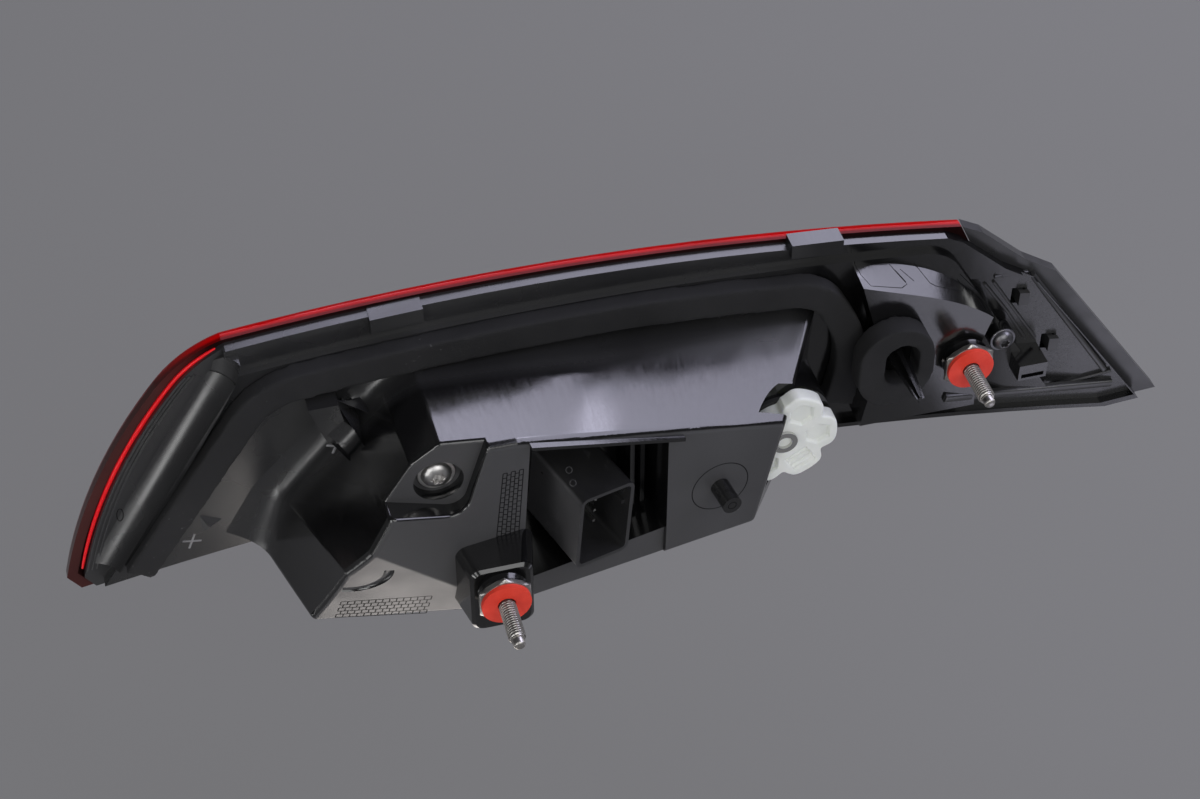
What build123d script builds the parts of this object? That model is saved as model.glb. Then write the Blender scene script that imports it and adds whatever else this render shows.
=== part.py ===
from build123d import *
import os
from math import cos, radians, sin

# Car tail lamp, right-hand, drawn from its mounting side.
# Origin: axis of the outer stud at the face of its seal. +X inboard, +Y out through the lens, +Z up.

os.makedirs("parts", exist_ok=True)

# Rim surface: one upright cylinder that every layer of the lamp follows
plan_radius = 1000.0
crown_x = 45.0
crown_y = 80.0

# Lens edge seen from behind, as X and Z
top_left = (-76.0, 72.6)
top_crown = (50.0, 71.6)
top_right = (180.0, 66.8)
end_crest = (188.0, 63.2)
end_dip = (204.5, 49.6)
end_knee = (216.5, 43.0)
end_tip = (261.0, -16.5)
end_foot = (245.0, -21.5)
left_foot = (-136.0, -20.5)
left_tip = (-140.0, -13.5)
left_bulge = (-116.5, 38.0)
left_shoulder = (-99.5, 59.6)
trim_line_foot_x = 222.0
trim_gap = 0.4
reach = end_tip[0] - left_tip[0]

# Lens and flange, depths measured off the rim surface
lens_seat = -0.5
lens_crown = 6.0
lens_wall = 2.5
lens_edge_wall = 3.5
lens_edge_round = 4.0
flange_wall = 2.5
flange_margin = 1.3
left_overhang = 5.8
end_overhang = 8.6
end_rib_height = 3.0
end_rib_width = 1.8
rail_height = 2.0
rail_left_x = -76.0
rail_foot_z = 46.0

# Gasket tray behind the flange
shell_wall = 2.5
tray_step = 4.3
tray_top = 61.5
tray_right_top_x = 173.5
tray_right_foot_x = 218.0
tray_right_foot_z = -9.0
tray_notch_x = 139.0
tray_foot_z = -16.3
tray_left_top_x = -73.8
tray_left_mid = (-97.5, 24.5)
tray_left_foot_x = -128.0
tray_corner_round = 14.0

# Gutter: a trough beside a crest along the tray's outboard edge
gutter_height = 8.0
gutter_foot_z = -8.0
gutter_top_x = -70.5
gutter_rim = 2.2
trough_offset = 10.0
trough_drop = 7.5

flange_front = lens_seat - flange_wall
rail_front = flange_front - rail_height
tray_front = flange_front - tray_step
tray_back = tray_front + shell_wall

# Deep box: base outline on the tray, back outline on a turned plane
box_base_y = 76.0
box_base = [(132.0, 47.0), (10.0, 48.4), (-15.0, 48.5), (-27.0, 42.5), (-38.0, 31.5), (-68.0, 5.0),
            (-80.0, -14.6), (130.0, -14.0)]
back_turn = 8.0
back_y = 20.0
box_back = [(108.0, 23.3), (10.0, 52.6), (-15.0, 56.8), (-25.0, 49.5), (-35.0, 33.2), (-48.0, 9.0),
            (-56.0, -29.0), (97.5, -23.0)]
box_round = 2.5
facet_points = [(-41.2, 14.2, 20.9), (-12.2, 18.3, -8.0), (-58.0, 30.4, -25.0)]

crescent_points = [(10.0, -24.5), (16.0, -15.0), (12.5, -4.5)]
crescent_radius = 1.8
crescent_depth = 1.2

# Recess for the connector
recess_mouth = [(10.0, -16.5), (64.0, -12.0), (64.0, 33.4), (14.4, 48.8)]
recess_depth = 26.0
recess_draft = 5.0
lip_depth = 2.0
lip_wall = 1.4
lip_tail = 5.5
shelf_setback = 2.0
shelf_right = 58.0
recess_ribs = [(57.0, 11.0), (60.8, 11.0)]
recess_rib_wall = 1.6
recess_rib_length = 40.0
recess_rib_height = 12.0

# Connector socket
plug_turn = 18.0
plug_roll = -5.0
plug_mouth = (39.6, 22.6, 4.0)
plug_width = 21.5
plug_height = 32.0
plug_wall = 1.4
plug_corner = 3.0
plug_mouth_depth = 20.0
plug_length = recess_depth + plug_mouth_depth
key_width = 1.6
key_height = 1.2
key_offset = 4.5
key_setback = 3.0
pin_side = 1.0
pin_pitch = 5.0
pin_columns = 2
pin_rows = 4
pin_below_mouth = 10.0
pin_tail = 6.0
pin_window_margin = 3.0

# Stepped platform with a sunk screw at the box's corner
step_face = [(-60.0, 42.7), (-9.0, 26.0), (3.5, 66.0), (-60.0, 80.0)]
step_round = 6.0
step_edge_round = 1.2
step_y = 24.0
sunk_screw = (-16.0, 39.0)
sink_depth = 4.4
screw_radius = 2.0
screw_head_radius = 6.4
screw_head_height = 3.4
screw_length = 12.0
screw_clearance = 0.15
sink_clearance = 2.0
screw_rim_share = 0.28
screw_dome_share = 0.8
pan_round = 0.8

# Bracket with the locating pin
pin_root = (84.0, 2.3)
pin_radius = 3.5
pin_length = 10.0
pin_chamfer = 1.0

# Studs
stud_radius = 3.0
stud_length = 15.5
stud_neck_radius = 2.7
stud_point_radius = 2.0
stud_point_length = 3.0
seal_radius = 8.5
seal_thickness = 1.5
seal_clearance = 0.1
hex_across_flats = 17.5
hex_height = 5.0
shank_radius = 4.0
shank_length = 9.0
shank_clearance = 0.1
outer_stud = (0.0, 0.0, 0.0)
inner_stud = (181.5, 50.2, 16.8)
pedestal_front = (21.0, 29.0)
pedestal_foot = (30.0, 30.5)
pedestal_drop = -3.6
pedestal_foot_y = 26.0
pedestal_round = 4.0

# Wing at the inboard end
wing_base_y = 70.0
wing_base = [(140.0, 60.3), (156.0, 60.0), (171.0, 56.5), (182.0, 50.0), (194.0, 30.0), (189.5, 22.0),
             (190.0, -8.0), (144.0, -8.0), (149.5, 26.0)]
wing_face = [(140.0, 58.8), (152.0, 54.2), (168.0, 47.9), (182.0, 40.5), (190.5, 34.0), (187.5, 24.0),
             (188.0, -8.0), (144.0, -8.0), (149.5, 26.0)]
wing_crest = 5
wing_screw_at = (195.5, 22.0)
wing_screw_head = 4.8
wing_screw_height = 3.0
wing_screw_y = 57.5
wing_screw_boss = 5.0

# Prong and its foam ring
prong_at = (154.0, 27.0)
prong_length = 26.0
prong_span = 8.0
prong_blade = 2.0
prong_tip = 0.35
ring_at = (152.0, 26.0)
ring_width = 28.0
ring_height = 35.0
ring_thickness = 8.5
ring_hole_width = 12.5
ring_hole_height = 18.0

# Foam strip around the box
foam_width = 11.0
foam_thickness = 7.0
foam_route = [(-115.5, -9.5), (-66.0, 55.8), (60.0, 56.3), (128.0, 54.0), (142.0, 28.0), (137.0, 0.0)]
foam_bends = [24.0, 300.0, 16.0, 40.0]

# Clip blocks on the top rail
clip_places = [-18.5, 127.0]
clip_width = 18.0
clip_foot = 66.0
clip_top = 71.8
clip_height = 4.5
clip_hook_gap = 0.2

# Bulb chamber and holder
holder_at = (108.6, 10.2)
bay_radius = 21.5
bay_front_y = 37.6
bay_floor_y = 46.5
collar_radius = 19.5
bore_radius = 11.2
chamber_radius = 16.5
holder_radius = 20.0
holder_lobes = 6
lobe_cut_radius = 3.0
lobe_cut_inset = 1.2
flange_height = 5.5
neck_radius = 11.0
neck_length = 9.0
cell_radius = 5.2
cell_depth = 3.5
cell_ring = 12.2
cell_count = 6
seal_ring_height = 1.5
seal_ring_width = 4.0
contact_radius = 4.6
contact_bore = 2.6
contact_height = 1.2
bulb_base_radius = 5.0
bulb_base_length = 8.0
bulb_radius = 7.0
bulb_length = 17.0
bulb_tip_flat = 1.0
bulb_clearance = 0.1
reflector_wall = 1.4
reflector_mouth_radius = 18.5
reflector_gap = 0.3
reflector_waist_y = 72.0

# Inner bezel with the light tunnel
bezel_gap = 0.3
bezel_front = lens_seat
bezel_wall = 1.8
window_at = (30.0, 14.0)
window_width = 74.0
window_height = 34.0
tunnel_wall = 1.6
ledge_width = 1.5
ledge_depth = 3.5
diffuser_gap = 0.2
post_radius = 3.2
post_spread = 5.0
post_span_x = window_width + 2 * post_spread
post_span_z = window_height - 2 * post_spread

# Light boards
board_thickness = 1.6
board_corner = 2.0
board_face_y = 63.0
board_screw_radius = 1.2
board_screw_head = 2.8
board_screw_head_height = 1.8
board_screw_length = 7.0
led_side = 5.0
led_height = 1.6
led_columns = 5
led_rows = 2
led_pitch = 14.0
guide_inset = 12.0
guide_width = 6.0
guide_height = 3.2
guide_right = 163.0
guide_foot = -8.0
guide_end_z = 54.0
tail_board_width = 14.0
tail_board_height = 14.0
tail_led_gap = 0.3
tail_led_width = 3.0
tail_led_height = 1.6
tail_led_depth = 5.0

# End trim hooks through the flange
hook_places = [(202.5, 35.0), (216.0, 12.0)]
hook_width = 6.0
hook_wall = 2.0
hook_nose = 1.5
hook_clearance = 0.5
trim_crown = 4.0
trim_wall = 2.5

# Small features of the moulding
stop_block = (207.0, 8.0)
stop_block_y = 52.0
stop_block_width = 10.8
stop_block_height = 7.0
stop_block_depth = 12.0
stop_slot_width = 8.6
stop_slot_height = 1.8
stop_slot_depth = 2.0
stop_slot_drop = 1.5
gusset = [(-52.0, 47.0), (-42.0, 47.0), (-38.5, 28.0), (-46.0, 28.0)]
gusset_height = 9.0


def rim_y(x):
    """Depth of the rim surface at a given X."""
    return crown_y - plan_radius + (plan_radius**2 - (x - crown_x) ** 2) ** 0.5


def layer(outline, near, far):
    """Outline carried along Y and trimmed to the depths near to far off the rim surface."""
    with BuildPart() as slab:
        with BuildSketch(Plane.XZ):
            add(outline)
        extrude(amount=-reach)
        with BuildSketch(Plane.XY.offset(-reach)):
            with Locations((crown_x, crown_y - plan_radius)):
                Circle(plan_radius + far)
                Circle(plan_radius + near, mode=Mode.SUBTRACT)
        extrude(amount=2 * reach, mode=Mode.INTERSECT)
    return slab.part


def at_depth(y):
    """Plane facing the mounting side at a given Y, with X and Z as its axes."""
    return Plane.XZ.offset(-y)


def turned_plane(origin, turn, roll=0.0):
    """Plane facing the mounting side, turned inboard about Z and rolled about its own normal."""
    across = Vector(cos(radians(turn)), sin(radians(turn)), 0)
    normal = Vector(sin(radians(turn)), -cos(radians(turn)), 0)
    return Plane(origin, x_dir=across.rotate(Axis((0, 0, 0), normal), roll), z_dir=normal)


def polygon_loft(start_plane, start, end_plane, end, inset, crest=1):
    """Solid between two outlines, both drawn in by the inset, whose first corners can lie on one smooth crest."""
    with BuildPart() as solid:
        for plane, corners in ((start_plane, start), (end_plane, end)):
            with BuildSketch(plane):
                with BuildLine():
                    if crest > 1:
                        Spline(*corners[:crest])
                    Polyline(*corners[crest - 1:], corners[0])
                make_face()
                if inset:
                    offset(amount=-inset, kind=Kind.INTERSECTION, mode=Mode.REPLACE)
        loft(ruled=True)
    return solid.part


def trough_point(place, run):
    """Point of the trough's axis beside a point of the gutter's crest."""
    depth = rim_y(place[0]) + flange_front - gutter_height + trough_drop - trough_radius
    return Vector(place[0] - run.Y * trough_offset, depth, place[1] + run.X * trough_offset)


def drum(centre, radius, start_y, end_y):
    """Cylinder along Y between two depths."""
    with BuildPart() as cylinder:
        with BuildSketch(at_depth(start_y)):
            with Locations(centre):
                Circle(radius)
        extrude(amount=start_y - end_y)
    return cylinder.part


back_plane = turned_plane((0, back_y, 0), back_turn)
plug_plane = turned_plane(plug_mouth, plug_turn, plug_roll)
chamber_floor_y = bay_floor_y + shell_wall
screw_seat_y = step_y + sink_depth
lip_start = Vector(recess_mouth[3])
lip_end = Vector(recess_mouth[2]) + (Vector(recess_mouth[2]) - lip_start).normalized() * lip_tail
trough_radius = (trough_offset**2 + trough_drop**2) / (2 * trough_drop)
facet_across = Vector(facet_points[1]) - Vector(facet_points[0])
facet_down = Vector(facet_points[2]) - Vector(facet_points[0])
facet_plane = Plane(facet_points[0], x_dir=facet_across, z_dir=facet_down.cross(facet_across))

crest_line = [(tray_left_foot_x, tray_foot_z), (tray_left_top_x, tray_top), (gutter_top_x, top_left[1])]

# Outlines seen from behind
with BuildSketch() as whole_view:
    Rectangle(4 * reach, 4 * reach)

with BuildSketch() as lamp_face:
    with BuildLine():
        ThreePointArc(top_left, top_crown, top_right)
        Polyline(top_right, end_crest, end_dip, end_knee, end_tip, end_foot, left_foot, left_tip)
        left_edge = ThreePointArc(left_tip, left_bulge, left_shoulder)
        TangentArc(left_shoulder, top_left, tangent=left_edge % 1)
    make_face()

with BuildSketch() as inboard_of_trim:
    with BuildLine():
        Polyline(top_right, (trim_line_foot_x, end_foot[1]), (trim_line_foot_x, -reach), (2 * reach, -reach),
                 (2 * reach, reach), (top_right[0], reach), close=True)
    make_face()

with BuildSketch() as lens_face:
    add(lamp_face.sketch)
    add(inboard_of_trim.sketch, mode=Mode.SUBTRACT)

with BuildSketch() as trim_face:
    add(inboard_of_trim.sketch)
    offset(amount=-trim_gap, mode=Mode.REPLACE)
    add(lamp_face.sketch, mode=Mode.INTERSECT)

with BuildSketch() as flange_face:
    add(lamp_face.sketch)
    offset(amount=-flange_margin, kind=Kind.INTERSECTION, mode=Mode.REPLACE)
    with Locations((left_overhang, 0)):
        add(lamp_face.sketch, mode=Mode.INTERSECT)
    with Locations((-end_overhang, 0)):
        add(lamp_face.sketch, mode=Mode.INTERSECT)

with BuildSketch() as tray_face:
    with BuildLine():
        Polyline((tray_left_top_x, tray_top), (tray_right_top_x, tray_top),
                 (tray_right_foot_x, tray_right_foot_z), (tray_notch_x, tray_right_foot_z),
                 (tray_notch_x, tray_foot_z), (tray_left_foot_x, tray_foot_z))
        ThreePointArc((tray_left_foot_x, tray_foot_z), tray_left_mid, (tray_left_top_x, tray_top))
    make_face()
    fillet(tray_face.vertices().sort_by_distance((tray_right_top_x, tray_top))[0], tray_corner_round)

with BuildSketch() as tray_inside:
    add(tray_face.sketch)
    offset(amount=-shell_wall, kind=Kind.INTERSECTION, mode=Mode.REPLACE)

with BuildSketch() as gutter_limit:
    add(flange_face.sketch)
    offset(amount=-gutter_rim, kind=Kind.INTERSECTION, mode=Mode.REPLACE)

with BuildSketch() as gutter_face:
    with BuildLine():
        ThreePointArc(crest_line[0], tray_left_mid, crest_line[1])
        Polyline(*crest_line[1:], (left_tip[0], top_left[1]), (left_tip[0], tray_foot_z), crest_line[0])
    make_face()
    with Locations((left_tip[0], gutter_foot_z + reach / 2)):
        Rectangle(reach, reach, mode=Mode.INTERSECT)
    add(gutter_limit.sketch, mode=Mode.INTERSECT)

with BuildSketch() as rail_face:
    add(flange_face.sketch)
    with Locations((rail_left_x + reach / 2, rail_foot_z + reach / 2)):
        Rectangle(reach, reach, mode=Mode.INTERSECT)

with BuildSketch() as end_rib_face:
    add(flange_face.sketch)
    with Locations((-end_rib_width, end_rib_width)):
        add(flange_face.sketch, mode=Mode.SUBTRACT)
    with Locations((end_tip[0], top_right[1] / 2)):
        Rectangle(2 * (end_tip[0] - tray_notch_x), reach, mode=Mode.INTERSECT)

with BuildSketch() as lens_inside:
    add(lens_face.sketch)
    offset(amount=-lens_edge_wall, kind=Kind.INTERSECTION, mode=Mode.REPLACE)

with BuildSketch() as trim_inside:
    add(trim_face.sketch)
    offset(amount=-trim_wall, kind=Kind.INTERSECTION, mode=Mode.REPLACE)
    with Locations((-trim_wall, 0)):
        add(flange_face.sketch, mode=Mode.INTERSECT)

with BuildSketch() as hook_windows:
    with Locations(*hook_places):
        Rectangle(hook_wall + hook_nose + 2 * hook_clearance, hook_width + 2 * hook_clearance)

with BuildSketch() as hook_stems:
    with Locations(*hook_places):
        with Locations((hook_nose / 2, 0)):
            Rectangle(hook_wall, hook_width)

with BuildSketch() as hook_noses:
    with Locations(*hook_places):
        with Locations((hook_nose, 0)):
            Rectangle(hook_wall + hook_nose, hook_width)

with BuildSketch() as clip_faces:
    with Locations(*[(place, (clip_foot + clip_top) / 2) for place in clip_places]):
        Rectangle(clip_width, clip_top - clip_foot)

with BuildSketch() as foam_face:
    with BuildLine():
        FilletPolyline(*foam_route, radius=foam_bends)
    trace(line_width=foam_width)

with BuildSketch() as bezel_face:
    add(tray_inside.sketch)
    offset(amount=-bezel_gap, kind=Kind.INTERSECTION, mode=Mode.REPLACE)

with BuildSketch() as bezel_skirt:
    add(bezel_face.sketch)
    offset(amount=-bezel_wall, kind=Kind.INTERSECTION, mode=Mode.SUBTRACT)

with BuildSketch() as tunnel_outer:
    with Locations(window_at):
        Rectangle(window_width + 2 * tunnel_wall, window_height + 2 * tunnel_wall)

with BuildSketch() as tunnel_inner:
    with Locations(window_at):
        Rectangle(window_width - 2 * ledge_width, window_height - 2 * ledge_width)

with BuildSketch() as ledge_face:
    with Locations(window_at):
        Rectangle(window_width, window_height)

with BuildSketch() as diffuser_face:
    with Locations(window_at):
        Rectangle(window_width - 2 * diffuser_gap, window_height - 2 * diffuser_gap)

with BuildSketch() as post_face:
    with Locations(window_at):
        with GridLocations(post_span_x, post_span_z, 2, 2):
            Circle(post_radius)

with BuildSketch() as guide_face:
    add(lens_face.sketch)
    offset(amount=-guide_inset, kind=Kind.INTERSECTION, mode=Mode.REPLACE)
    offset(amount=-guide_width, kind=Kind.INTERSECTION, mode=Mode.SUBTRACT)
    with Locations((guide_right - reach, guide_foot + reach / 2)):
        Rectangle(2 * reach, reach, mode=Mode.INTERSECT)

with BuildSketch() as tail_board_face:
    with Locations((guide_right + tail_led_gap + tail_board_width / 2, guide_end_z)):
        Rectangle(tail_board_width, tail_board_height)

with BuildSketch() as tail_led_face:
    with Locations((guide_right + tail_led_gap + tail_led_width / 2, guide_end_z)):
        Rectangle(tail_led_width, tail_led_depth)

# Solids of the moulding's outer and inner walls
box_outer = polygon_loft(at_depth(box_base_y), box_base, back_plane, box_back, 0)
box_inner = polygon_loft(at_depth(box_base_y), box_base, back_plane.offset(-shell_wall), box_back, shell_wall)
wing_plane = at_depth(inner_stud[1] + seal_thickness + hex_height)
wing_outer = polygon_loft(at_depth(wing_base_y), wing_base, wing_plane, wing_face, 0, wing_crest)
wing_inner = polygon_loft(at_depth(wing_base_y), wing_base, wing_plane.offset(-shell_wall), wing_face, shell_wall)


def step_block(end_y, growth):
    """Corner block from in front of the box to a given depth, grown on all sides."""
    with BuildPart() as block:
        with BuildSketch(at_depth(end_y)) as outline:
            with BuildLine():
                Polyline(*step_face, close=True)
            make_face()
            fillet(outline.vertices().sort_by_distance(outer_stud)[0], step_round)
            if growth:
                offset(amount=growth, mode=Mode.REPLACE)
        extrude(amount=end_y)
    return block.part


with BuildPart() as box_shape:
    add(box_outer)
    split(bisect_by=facet_plane, keep=Keep.BOTTOM)
    fillet(box_shape.edges().filter_by(lambda edge: edge.center().Y < box_base_y - shell_wall), box_round)
    add(step_block(step_y, 0), mode=Mode.SUBTRACT)
    fillet(box_shape.edges(Select.NEW), step_edge_round)

recess_floor = recess_mouth[:3] + [(recess_mouth[3][0], recess_mouth[3][1] - recess_draft)]
recess = polygon_loft(back_plane, recess_mouth, back_plane.offset(-recess_depth), recess_floor, 0)
recess_jacket = polygon_loft(back_plane, recess_mouth, back_plane.offset(-recess_depth - shell_wall),
                             recess_floor, -shell_wall)

with BuildPart() as box_cavity:
    add(box_inner)
    split(bisect_by=facet_plane.offset(-shell_wall), keep=Keep.BOTTOM)
    add(recess_jacket, mode=Mode.SUBTRACT)
    add(drum(holder_at, bay_radius + shell_wall, 0, bay_floor_y + shell_wall), mode=Mode.SUBTRACT)
    add(drum(holder_at, chamber_radius, bay_floor_y + shell_wall, box_base_y))
    add(step_block(step_y + shell_wall, shell_wall), mode=Mode.SUBTRACT)
    add(drum(sunk_screw, screw_head_radius + sink_clearance + shell_wall, 0, screw_seat_y + shell_wall),
        mode=Mode.SUBTRACT)
    add(drum(sunk_screw, screw_radius + shell_wall, 0, screw_seat_y + screw_length + shell_wall),
        mode=Mode.SUBTRACT)

stud_seat_y = seal_thickness + hex_height
wing_seat_y = inner_stud[1] + stud_seat_y

with BuildPart() as gutter:
    add(layer(gutter_face.sketch, flange_front - gutter_height, lens_seat))
    for start, end in zip(crest_line, crest_line[1:]):
        run = (Vector(end) - Vector(start)).normalized()
        axis_start = trough_point(start, run)
        axis_run = trough_point(end, run) - axis_start
        with BuildSketch(Plane(axis_start, z_dir=axis_run)):
            Circle(trough_radius)
        extrude(amount=axis_run.length, mode=Mode.SUBTRACT)

with BuildPart() as crescent:
    with BuildLine(facet_plane.offset(crescent_radius - crescent_depth)) as crescent_line:
        ThreePointArc(*crescent_points)
    with BuildSketch(Plane(crescent_line.line @ 0, z_dir=crescent_line.line % 0)):
        Circle(crescent_radius)
    sweep()

with BuildPart() as pedestal:
    for depth, (width, height) in ((stud_seat_y, pedestal_front), (pedestal_foot_y, pedestal_foot)):
        with BuildSketch(at_depth(depth)):
            with Locations((0, pedestal_drop)):
                RectangleRounded(width, height, pedestal_round)
    loft()

with BuildPart() as prong:
    for across, along in ((prong_span, prong_blade), (prong_blade, prong_span)):
        for depth, share in ((wing_seat_y + shell_wall / 2, 1), (wing_seat_y - prong_length, prong_tip)):
            with BuildSketch(at_depth(depth)):
                with Locations(prong_at):
                    Rectangle(max(across * share, prong_blade / 2), max(along * share, prong_blade / 2))
        loft()

with BuildPart() as housing:
    add(layer(flange_face.sketch, flange_front, lens_seat))
    add(layer(tray_face.sketch, tray_front, lens_seat))
    add(gutter.part)
    add(layer(rail_face.sketch, rail_front, lens_seat))
    add(layer(end_rib_face.sketch, flange_front - end_rib_height, lens_seat))
    add(box_shape.part)
    add(pedestal.part)
    add(drum(holder_at, collar_radius, bay_floor_y, box_base_y))
    add(wing_outer)
    # Lip over the connector recess
    with BuildSketch(back_plane.offset(lip_depth)):
        with BuildLine():
            Polyline(lip_start, lip_end, lip_end + Vector(0, lip_wall), lip_start + Vector(0, lip_wall), close=True)
        make_face()
    extrude(amount=-lip_depth - shell_wall)
    # Block with a slot beside the wing
    with BuildSketch(at_depth(stop_block_y)):
        with Locations(stop_block):
            Rectangle(stop_block_width, stop_block_height)
    extrude(amount=-stop_block_depth)
    # Gusset between tray and box
    with BuildSketch(at_depth(rim_y(gusset[0][0]) + tray_front - gusset_height)):
        with BuildLine():
            Polyline(*gusset, close=True)
        make_face()
    extrude(amount=-gusset_height - shell_wall)
    # Everything stays behind the lens seat
    add(layer(whole_view.sketch, -reach, lens_seat), mode=Mode.INTERSECT)
    # Hollows
    add(layer(tray_inside.sketch, tray_back, lens_crown), mode=Mode.SUBTRACT)
    add(box_cavity.part, mode=Mode.SUBTRACT)
    add(wing_inner, mode=Mode.SUBTRACT)
    add(recess, mode=Mode.SUBTRACT)
    add(crescent.part, mode=Mode.SUBTRACT)
    add(drum(holder_at, bay_radius, bay_front_y, bay_floor_y), mode=Mode.SUBTRACT)
    add(drum(holder_at, bore_radius, bay_floor_y, box_base_y), mode=Mode.SUBTRACT)
    with BuildSketch(at_depth(stop_block_y)):
        with Locations((stop_block[0], stop_block[1] - stop_slot_drop)):
            Rectangle(stop_slot_width, stop_slot_height)
    extrude(amount=-stop_slot_depth, mode=Mode.SUBTRACT)
    # Ribs on the floor of the recess
    with BuildSketch(back_plane.offset(-recess_depth)):
        with Locations(*recess_ribs):
            Rectangle(recess_rib_wall, recess_rib_length)
    extrude(amount=recess_rib_height)
    # Shelf below the connector, set back from the bracket's face
    with BuildSketch(back_plane):
        with BuildLine():
            Polyline(recess_mouth[0], (recess_mouth[0][0], -reach), (shelf_right, -reach), recess_mouth[1],
                     close=True)
        make_face()
    extrude(amount=-shelf_setback, mode=Mode.SUBTRACT)
    # Window for the plug pins
    with BuildSketch(plug_plane):
        Rectangle(pin_columns * pin_pitch + pin_window_margin, pin_rows * pin_pitch + pin_window_margin)
    extrude(amount=-plug_length, mode=Mode.SUBTRACT)
    # Sunk screw seat on the stepped platform
    add(drum(sunk_screw, screw_head_radius + sink_clearance, step_y, screw_seat_y), mode=Mode.SUBTRACT)
    add(drum(sunk_screw, screw_radius + screw_clearance, step_y, screw_seat_y + screw_length), mode=Mode.SUBTRACT)
    # Locating pin on the bracket
    with BuildSketch(back_plane.offset(-shell_wall)):
        with Locations(pin_root):
            Circle(pin_radius)
    extrude(amount=pin_length + shell_wall)
    chamfer(housing.faces().sort_by(Axis(back_plane.origin, back_plane.z_dir))[-1].edges(), pin_chamfer)
    add(prong.part)
    # Stud shank holes
    with BuildSketch(at_depth(stud_seat_y)):
        Circle(shank_radius + shank_clearance)
    extrude(amount=-shank_length, mode=Mode.SUBTRACT)
    with BuildSketch(at_depth(wing_seat_y)):
        with Locations((inner_stud[0], inner_stud[2])):
            Circle(shank_radius + shank_clearance)
    extrude(amount=-shell_wall, mode=Mode.SUBTRACT)
    # Windows for the trim hooks
    add(layer(hook_windows.sketch, flange_front - end_rib_height, lens_seat), mode=Mode.SUBTRACT)
    # Seat for the wing screw
    with BuildSketch(at_depth(wing_screw_y)):
        with Locations(wing_screw_at):
            Circle(wing_screw_head)
            Circle(screw_radius + screw_clearance, mode=Mode.SUBTRACT)
    extrude(amount=-wing_screw_boss)
    with BuildSketch(at_depth(wing_screw_y)):
        with Locations(wing_screw_at):
            Circle(screw_radius + screw_clearance)
    extrude(amount=-wing_screw_boss - shell_wall, mode=Mode.SUBTRACT)

with BuildPart() as outer_lens:
    add(layer(lens_face.sketch, lens_seat, lens_crown))
    fillet(outer_lens.faces().filter_by(GeomType.CYLINDER).sort_by(SortBy.AREA)[-2:].sort_by(Axis.Y)[-1].edges(),
           lens_edge_round)
    add(layer(lens_inside.sketch, lens_seat, lens_crown - lens_wall), mode=Mode.SUBTRACT)

with BuildPart() as end_trim:
    add(layer(trim_face.sketch, lens_seat, trim_crown))
    add(layer(trim_inside.sketch, lens_seat, trim_crown - trim_wall), mode=Mode.SUBTRACT)
    add(layer(hook_stems.sketch, flange_front - hook_clearance - hook_wall, trim_crown - trim_wall))
    add(layer(hook_noses.sketch, flange_front - hook_clearance - hook_wall, flange_front - hook_clearance))

with BuildPart() as rail_clips:
    add(layer(clip_faces.sketch, flange_front - clip_height, lens_seat - clip_hook_gap))
    add(layer(flange_face.sketch, rail_front, lens_seat), mode=Mode.SUBTRACT)

with BuildPart() as body_gasket:
    add(layer(foam_face.sketch, tray_front - foam_thickness, tray_front))

with BuildPart() as clip_gasket:
    with BuildSketch(at_depth(wing_seat_y)):
        with Locations(ring_at):
            SlotOverall(ring_height, ring_width, rotation=90)
        with Locations(prong_at):
            SlotOverall(ring_hole_height, ring_hole_width, rotation=90, mode=Mode.SUBTRACT)
    extrude(amount=ring_thickness)


def stud(centre):
    """Hex flange stud with an embedded shank and a dog point."""
    with BuildPart() as body:
        seat = at_depth(centre[1] + stud_seat_y)
        with BuildSketch(seat):
            with Locations((centre[0], centre[2])):
                RegularPolygon(hex_across_flats / 2, 6, major_radius=False)
        extrude(amount=hex_height)
        for radius, start, length in ((shank_radius, stud_seat_y, -shank_depth(centre)),
                                      (stud_neck_radius, seal_thickness, seal_thickness),
                                      (stud_radius, 0, stud_length),
                                      (stud_point_radius, -stud_length, stud_point_length)):
            with BuildSketch(at_depth(centre[1] + start)):
                with Locations((centre[0], centre[2])):
                    Circle(radius)
            extrude(amount=length)
    return body.part


def seal(centre):
    """Round sealing washer on a stud."""
    with BuildPart() as washer:
        with BuildSketch(at_depth(centre[1] + seal_thickness)):
            with Locations((centre[0], centre[2])):
                Circle(seal_radius)
                Circle(stud_radius + seal_clearance, mode=Mode.SUBTRACT)
        extrude(amount=seal_thickness)
    return washer.part


def shank_depth(centre):
    """Depth of a stud's shank in the moulding."""
    return shank_length if centre == outer_stud else shell_wall


def pan_screw(plane, centre, radius, length, head_radius, head_height):
    """Pan head screw whose seat lies on the given plane."""
    with BuildPart() as screw:
        with BuildSketch(plane):
            with Locations(centre):
                Circle(head_radius)
        extrude(amount=head_height * screw_rim_share)
        with BuildSketch(plane):
            with Locations(centre):
                Circle(head_radius * screw_dome_share)
        extrude(amount=head_height)
        fillet(screw.faces().sort_by(Axis(plane.origin, plane.z_dir))[-1].edges(),
               head_height * (1 - screw_rim_share) * pan_round)
        with BuildSketch(plane):
            with Locations(centre):
                Circle(radius)
        extrude(amount=-length)
    return screw.part


with BuildPart() as stud_outer:
    add(stud(outer_stud))

with BuildPart() as stud_inner:
    add(stud(inner_stud))

with BuildPart() as stud_seals:
    add(seal(outer_stud))
    add(seal(inner_stud))

with BuildPart() as housing_screw:
    add(pan_screw(at_depth(screw_seat_y), sunk_screw, screw_radius, screw_length - screw_clearance,
                  screw_head_radius, screw_head_height))

with BuildPart() as wing_screw:
    add(pan_screw(at_depth(wing_screw_y), wing_screw_at, screw_radius, wing_screw_boss, wing_screw_head,
                  wing_screw_height))

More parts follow.
